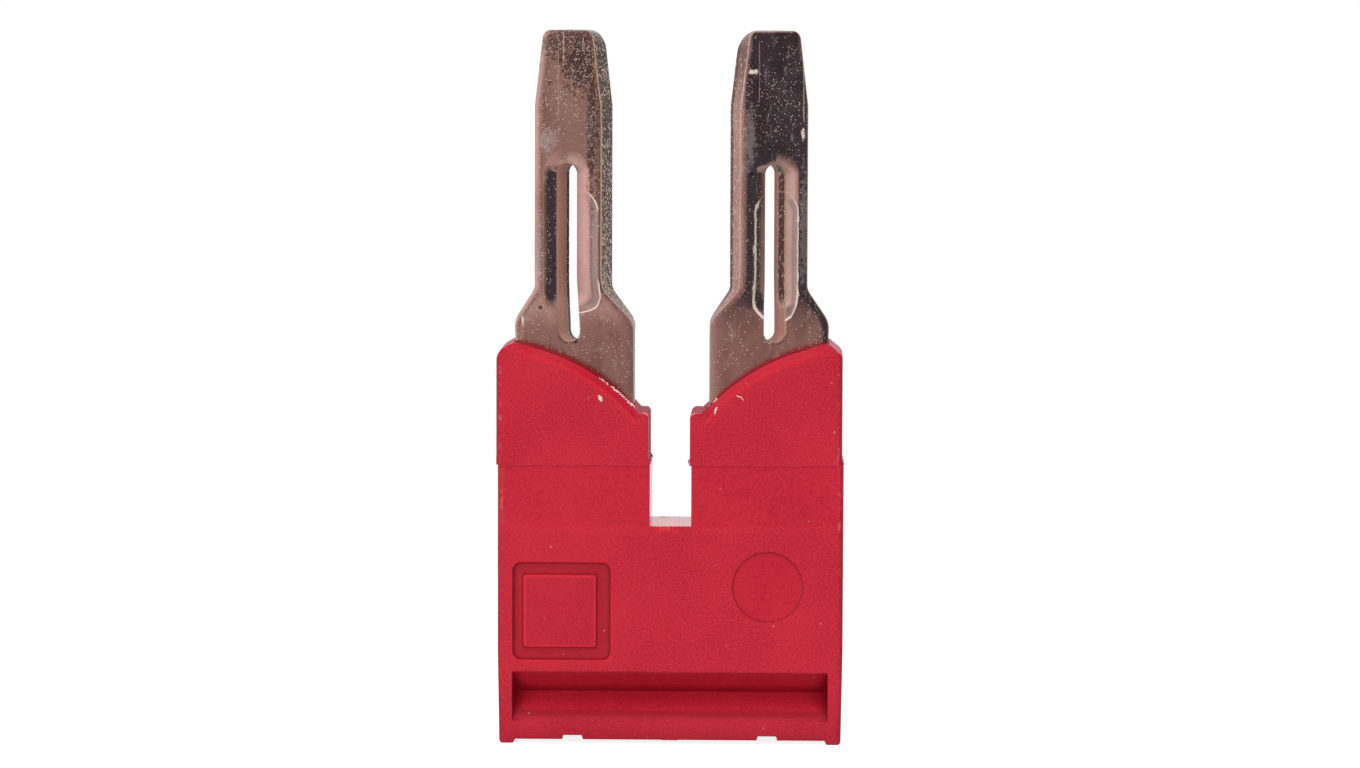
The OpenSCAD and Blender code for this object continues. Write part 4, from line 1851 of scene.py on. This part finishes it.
    def tip_lines(self) -> Array:
        """Heights of the tip's rows, close together at its round corners.

        Returns:
            The heights in rising order.
        """
        corner = self.top_z - self.tip_r + self.tip_r * np.sin(np.linspace(0.0, math.pi / 2, 14))
        plain = np.linspace(self.tip_z, self.top_z - self.tip_r, 40)[:-1]
        return np.concatenate([plain, corner])

    def base_lines(self) -> Array:
        """Heights of the base's rows, from the bar up to the slotted part."""
        return np.linspace(self.bar_top, self.base_z, 24)

    def bar(self, shell: Shell) -> None:
        """Adds the bar: its two faces, its ends, its underside and the top between the legs.

        Args:
            shell: The shell that takes the bar.
        """
        leg = self.columns * self.base_half
        middle = np.linspace(self.base_half - self.pole_x, self.pole_x - self.base_half, 6)
        xs = np.concatenate([leg - self.pole_x, middle[1:-1], leg + self.pole_x])
        zs = np.linspace(self.bar_z, self.bar_top, 5)
        depth = np.linspace(-self.sheet_half, self.sheet_half, 9)[:, None]
        faces = [stack(xs[None, :], y, zs[:, None]) for y in (-self.sheet_half, self.sheet_half)]
        edges = [stack(xs[None, :], depth, zs[0]), stack(middle[None, :], depth, zs[-1])]
        ends = [stack(x, depth, zs[None, :]) for x in (xs[0], xs[-1])]
        for points in faces + edges + ends:
            shell.grid(points, place=points)

    def build(self, finish: bpy.types.Material) -> bpy.types.Object:
        """Sews both legs and the bar into one piece and dresses it.

        Args:
            finish: The tinned copper.

        Returns:
            The piece.
        """
        shell = Shell(**METAL_MARKS)
        for hand in Hand:
            self.plain_part(shell, hand, self.base_lines())
            self.slotted_part(shell, hand)
            self.plain_part(shell, hand, self.tip_lines())
            self.outline(shell, hand)
        self.bar(shell)
        piece = shell.sew("comb_stamping", 40.0)
        piece.data.materials.append(finish)
        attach(piece, "root")
        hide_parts(self.node)
        return piece


@dataclass
class Burrs:
    """Loose shavings of metal: rows on the front edges of the arcs and a few chips on the ears."""

    seed: int = 11
    # Shavings on each arc and the stretch that they lie on, by the distance from the middle
    rows: Pair[tuple[int, float, float]] = Pair((38, 1.1, 2.25), (6, 1.2, 1.5))
    # Chips on the front: place across and up, length, width and slope in degrees
    chips: tuple[tuple[float, float, float, float, float], ...] = (
        (-2.24, 11.07, 0.21, 0.1, 108.0),
        (-2.2, 11.03, 0.19, 0.11, 96.0),
        (1.45, 10.68, 0.27, 0.07, 73.0),
        (2.16, 11.13, 0.2, 0.035, -20.0),
        (2.26, 11.07, 0.18, 0.03, -55.0),
    )
    stations: int = 6
    sides: int = 6
    # Greatest bend of a shaving, as a share of its length
    bend: float = 0.12

    def row(self, housing: Housing, hand: Hand, random: np.random.Generator) -> Array:
        """Shavings at random places along an arc's front edge, nearly in line with it.

        Args:
            housing: The housing that they lie on.
            hand: Which ear.
            random: Source of the places and sizes.

        Returns:
            For each shaving its X, Y, Z, length, width and slope in degrees.
        """
        count, near, far = self.rows[hand]
        a = random.uniform(near, far, count)
        z = housing.ear_top(hand, a) + random.uniform(-0.035, 0.01, count)
        slope = hand.value * random.normal(40.0, 18.0, count)
        y = np.full(count, 0.7 * housing.bevel_w - housing.half_d)
        long, wide = random.uniform(0.04, 0.2, count), random.uniform(0.015, 0.045, count)
        return np.stack([hand.value * a, y, z, long, wide, slope], axis=1)

    def shaving(self, shell: Shell, row: Array, bend: float) -> None:
        """Adds one shaving: a bent spindle.

        Along its length the width is the root of one less the square of the place, and the bend
        pushes the middle sideways by one less that square.

        Args:
            shell: The shell that takes the grid.
            row: Its X, Y, Z, length, width and slope in degrees.
            bend: Sideways push of the middle, as a share of the length.
        """
        x, y, z, long, wide, slope = row
        u = -np.cos(np.linspace(0.0, math.pi, self.stations))[:, None]
        turn = np.linspace(0.0, 2.0 * math.pi, self.sides + 1)[None, :]
        thick = wide / 2 * np.sqrt(np.maximum(1.0 - u * u, 0.0))
        along = long / 2 * u + 0.0 * turn
        aside = bend * long * (1.0 - u * u) + thick * np.cos(turn)
        c, s = math.cos(math.radians(slope)), math.sin(math.radians(slope))
        points = stack(x + c * along - s * aside, y + thick * np.sin(turn), z + s * along + c * aside)
        shell.grid(points, place=points, flake=1.0)

    def build(self, housing: Housing, finish: bpy.types.Material) -> bpy.types.Object:
        """Makes the shavings and dresses them.

        Args:
            housing: The housing that they lie on.
            finish: The tinned copper.

        Returns:
            The piece.
        """
        random = np.random.default_rng(self.seed)
        chips = np.insert(np.array(self.chips), 1, -housing.half_d, axis=1)
        rows = np.concatenate([*(self.row(housing, hand, random) for hand in Hand), chips])
        shell = Shell(**METAL_MARKS)
        for row, bend in zip(rows, random.uniform(-self.bend, self.bend, len(rows))):
            self.shaving(shell, row, bend)
        piece = shell.sew("edge_burrs", 60.0)
        piece.data.materials.append(finish)
        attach(piece, "root")
        return piece


@dataclass(frozen=True)
class Lamp:
    """A soft square lamp: its place and side in millimetres and its power in watts."""

    name: str
    place: Triple
    size: float
    power: float


@dataclass
class Studio:
    """Camera, pale floor, white surroundings and soft lamps."""

    azimuth: float = 1.5
    elevation: float = 4.7
    roll: float = 0.2
    distance: float = 176.0
    target_z: float = 11.35
    px_per_mm: float = 31.25
    image_w: float = 1360.0
    image_h: float = 768.0
    centre_px: tuple[float, float] = (672.0, 385.6)
    sensor: float = 36.0
    # Floor: its reach, its grey in the light and how white it is to the camera
    floor_front: float = 12.0
    floor_back: float = 44.0
    floor_half_w: float = 40.0
    floor_grey: Colour = (0.5, 0.5, 0.5)
    floor_glow: float = 0.85
    # Light on matte surfaces, and what is reflected from straight above and below
    even: Colour = (0.3, 0.3, 0.3)
    steep: Colour = (0.5, 0.43, 0.42)
    # Surroundings that shiny surfaces reflect, by the angle from the camera's side round to the back
    surround: tuple[tuple[float, Colour], ...] = (
        (-180.0, WHITE),
        (-168.0, (0.6, 0.5, 0.56)),
        (-150.0, (0.72, 0.55, 0.54)),
        (-125.0, (0.74, 0.56, 0.54)),
        (-95.0, (0.95, 0.7, 0.67)),
        (-75.0, (0.78, 0.58, 0.55)),
        (-46.0, (0.32, 0.22, 0.2)),
        (-24.0, (0.62, 0.44, 0.41)),
        (-3.0, (0.35, 0.225, 0.205)),
        (16.0, (0.27, 0.19, 0.185)),
        (29.0, (0.06, 0.055, 0.075)),
        (106.0, (0.065, 0.065, 0.08)),
        (128.0, (0.62, 0.49, 0.45)),
        (150.0, (0.72, 0.64, 0.6)),
        (168.0, (0.6, 0.5, 0.56)),
        (180.0, WHITE),
    )
    lamps: tuple[Lamp, ...] = (
        Lamp("front_left_lamp", (-230.0, -360.0, 45.0), 260.0, 0.84),
        Lamp("front_right_lamp", (230.0, -360.0, 45.0), 260.0, 0.65),
        Lamp("top_lamp", (-60.0, -130.0, 340.0), 220.0, 0.55),
        Lamp("back_lamp", (120.0, 360.0, 90.0), 260.0, 0.8),
    )

    def target(self) -> Vector:
        """Place that the camera and the lamps face, in metres."""
        return Vector((0.0, 0.0, self.target_z)) * MM

    def camera(self) -> None:
        """Places the camera on a sphere round the object and frames it as the photograph does."""
        a, e = math.radians(self.azimuth), math.radians(self.elevation)
        away = Vector((math.sin(a) * math.cos(e), -math.cos(a) * math.cos(e), math.sin(e)))
        data = bpy.data.cameras.new("camera")
        data.sensor_width = self.sensor
        data.lens = self.px_per_mm * self.distance / self.image_w * self.sensor
        data.shift_x = (self.image_w / 2 - self.centre_px[0]) / self.image_w
        data.shift_y = (self.centre_px[1] - self.image_h / 2) / self.image_w
        data.clip_start = 0.01
        camera = bpy.data.objects.new("camera", data)
        turn = away.to_track_quat("Z", "Y").to_matrix() @ Matrix.Rotation(math.radians(self.roll), 3, "Z")
        camera.matrix_world = Matrix.Translation(self.target() + away * self.distance * MM) @ turn.to_4x4()
        bpy.context.scene.collection.objects.link(camera)
        bpy.context.scene.camera = camera

    def floor(self) -> None:
        """Lays the floor, which keeps a soft shadow, is white to the camera and dim in reflections."""
        across = np.linspace(-self.floor_half_w, self.floor_half_w, 3)
        x, y = np.meshgrid(across, np.linspace(-self.floor_front, self.floor_back, 3))
        shell = Shell()
        shell.grid(stack(x, y, 0.0 * x))
        floor = shell.sew("studio_floor", 30.0)
        material, w, shader = new_material("white_floor")
        w.feed(shader, {"Base Color": (*self.floor_grey, 1.0), "Roughness": 0.9})
        glow = {"Color": (*WHITE, 1.0), "Strength": w.seen() * self.floor_glow}
        lit = {0: Value(w, shader.outputs[0]), 1: w.value("ShaderNodeEmission", glow)}
        w.feed(w.nodes["Material Output"], {"Surface": w.value("ShaderNodeAddShader", lit)})
        floor.data.materials.append(material)
        floor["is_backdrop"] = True

    def world(self) -> None:
        """White to the camera, even light on matte surfaces and the studio's tones in reflections."""
        world = bpy.data.worlds.new("studio")
        world.use_nodes = True
        world.cycles.sampling_method = "NONE"
        bpy.context.scene.world = world
        w = Wiring(world.node_tree)
        right, back, up = w.axes(w.value("ShaderNodeTexCoord", {}, "Generated"))
        angle = w.math("ARCTAN2", right, back * -1.0)
        ramp = w.nodes.new("ShaderNodeValToRGB")
        w.feed(ramp, {0: angle * (0.5 / math.pi) + 0.5})
        stops = ramp.color_ramp.elements
        while len(stops) < len(self.surround):
            stops.new(0.5)
        for stop, (degrees, colour) in zip(stops, self.surround):
            stop.position = degrees / 360.0 + 0.5
            stop.color = (*colour, 1.0)
        mirror = w.mix(abs(up).span(0.75, 0.98), Value(w, ramp.outputs[0]), self.steep)
        light = w.mix(w.value("ShaderNodeLightPath", {}, "Is Glossy Ray"), self.even, mirror)
        w.feed(w.nodes["Background"], {"Color": w.mix(w.seen(), light, WHITE)})

    def hang(self, lamp: Lamp) -> None:
        """Hangs a lamp so that it faces the object.

        Args:
            lamp: The lamp.
        """
        data = bpy.data.lights.new(lamp.name, "AREA")
        data.size = lamp.size * MM
        data.energy = lamp.power
        hung = bpy.data.objects.new(lamp.name, data)
        place = Vector(lamp.place) * MM
        aim = (place - self.target()).to_track_quat("Z", "Y")
        hung.matrix_world = Matrix.Translation(place) @ aim.to_matrix().to_4x4()
        hung.visible_glossy = False
        bpy.context.scene.collection.objects.link(hung)

    def build(self) -> None:
        """Sets up the whole studio."""
        bpy.context.scene.view_settings.view_transform = "Standard"
        self.camera()
        self.floor()
        self.world()
        for lamp in self.lamps:
            self.hang(lamp)


def main() -> None:
    """Builds the studio and the pieces, and reports them."""
    logging.basicConfig(level=logging.INFO, format="%(message)s")
    effects = Effects()
    Studio().build()
    housing, metal = Housing(), TinnedCopper().material(effects)
    pieces = [
        housing.build(RedPlastic().material(effects)),
        Comb().build(metal),
        Burrs().build(housing, metal),
    ]
    for piece in pieces:
        LOG.info("%s: %d faces", piece.name, len(piece.data.polygons))
    LOG.info("nodes in the frame: %s", ", ".join(sorted(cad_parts)))
    boxes = {"cad": CAD_BOX, "visual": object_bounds()}
    {name: [list(corner) for corner in box] for name, box in boxes.items()}


if __name__ == "__main__":
    main()
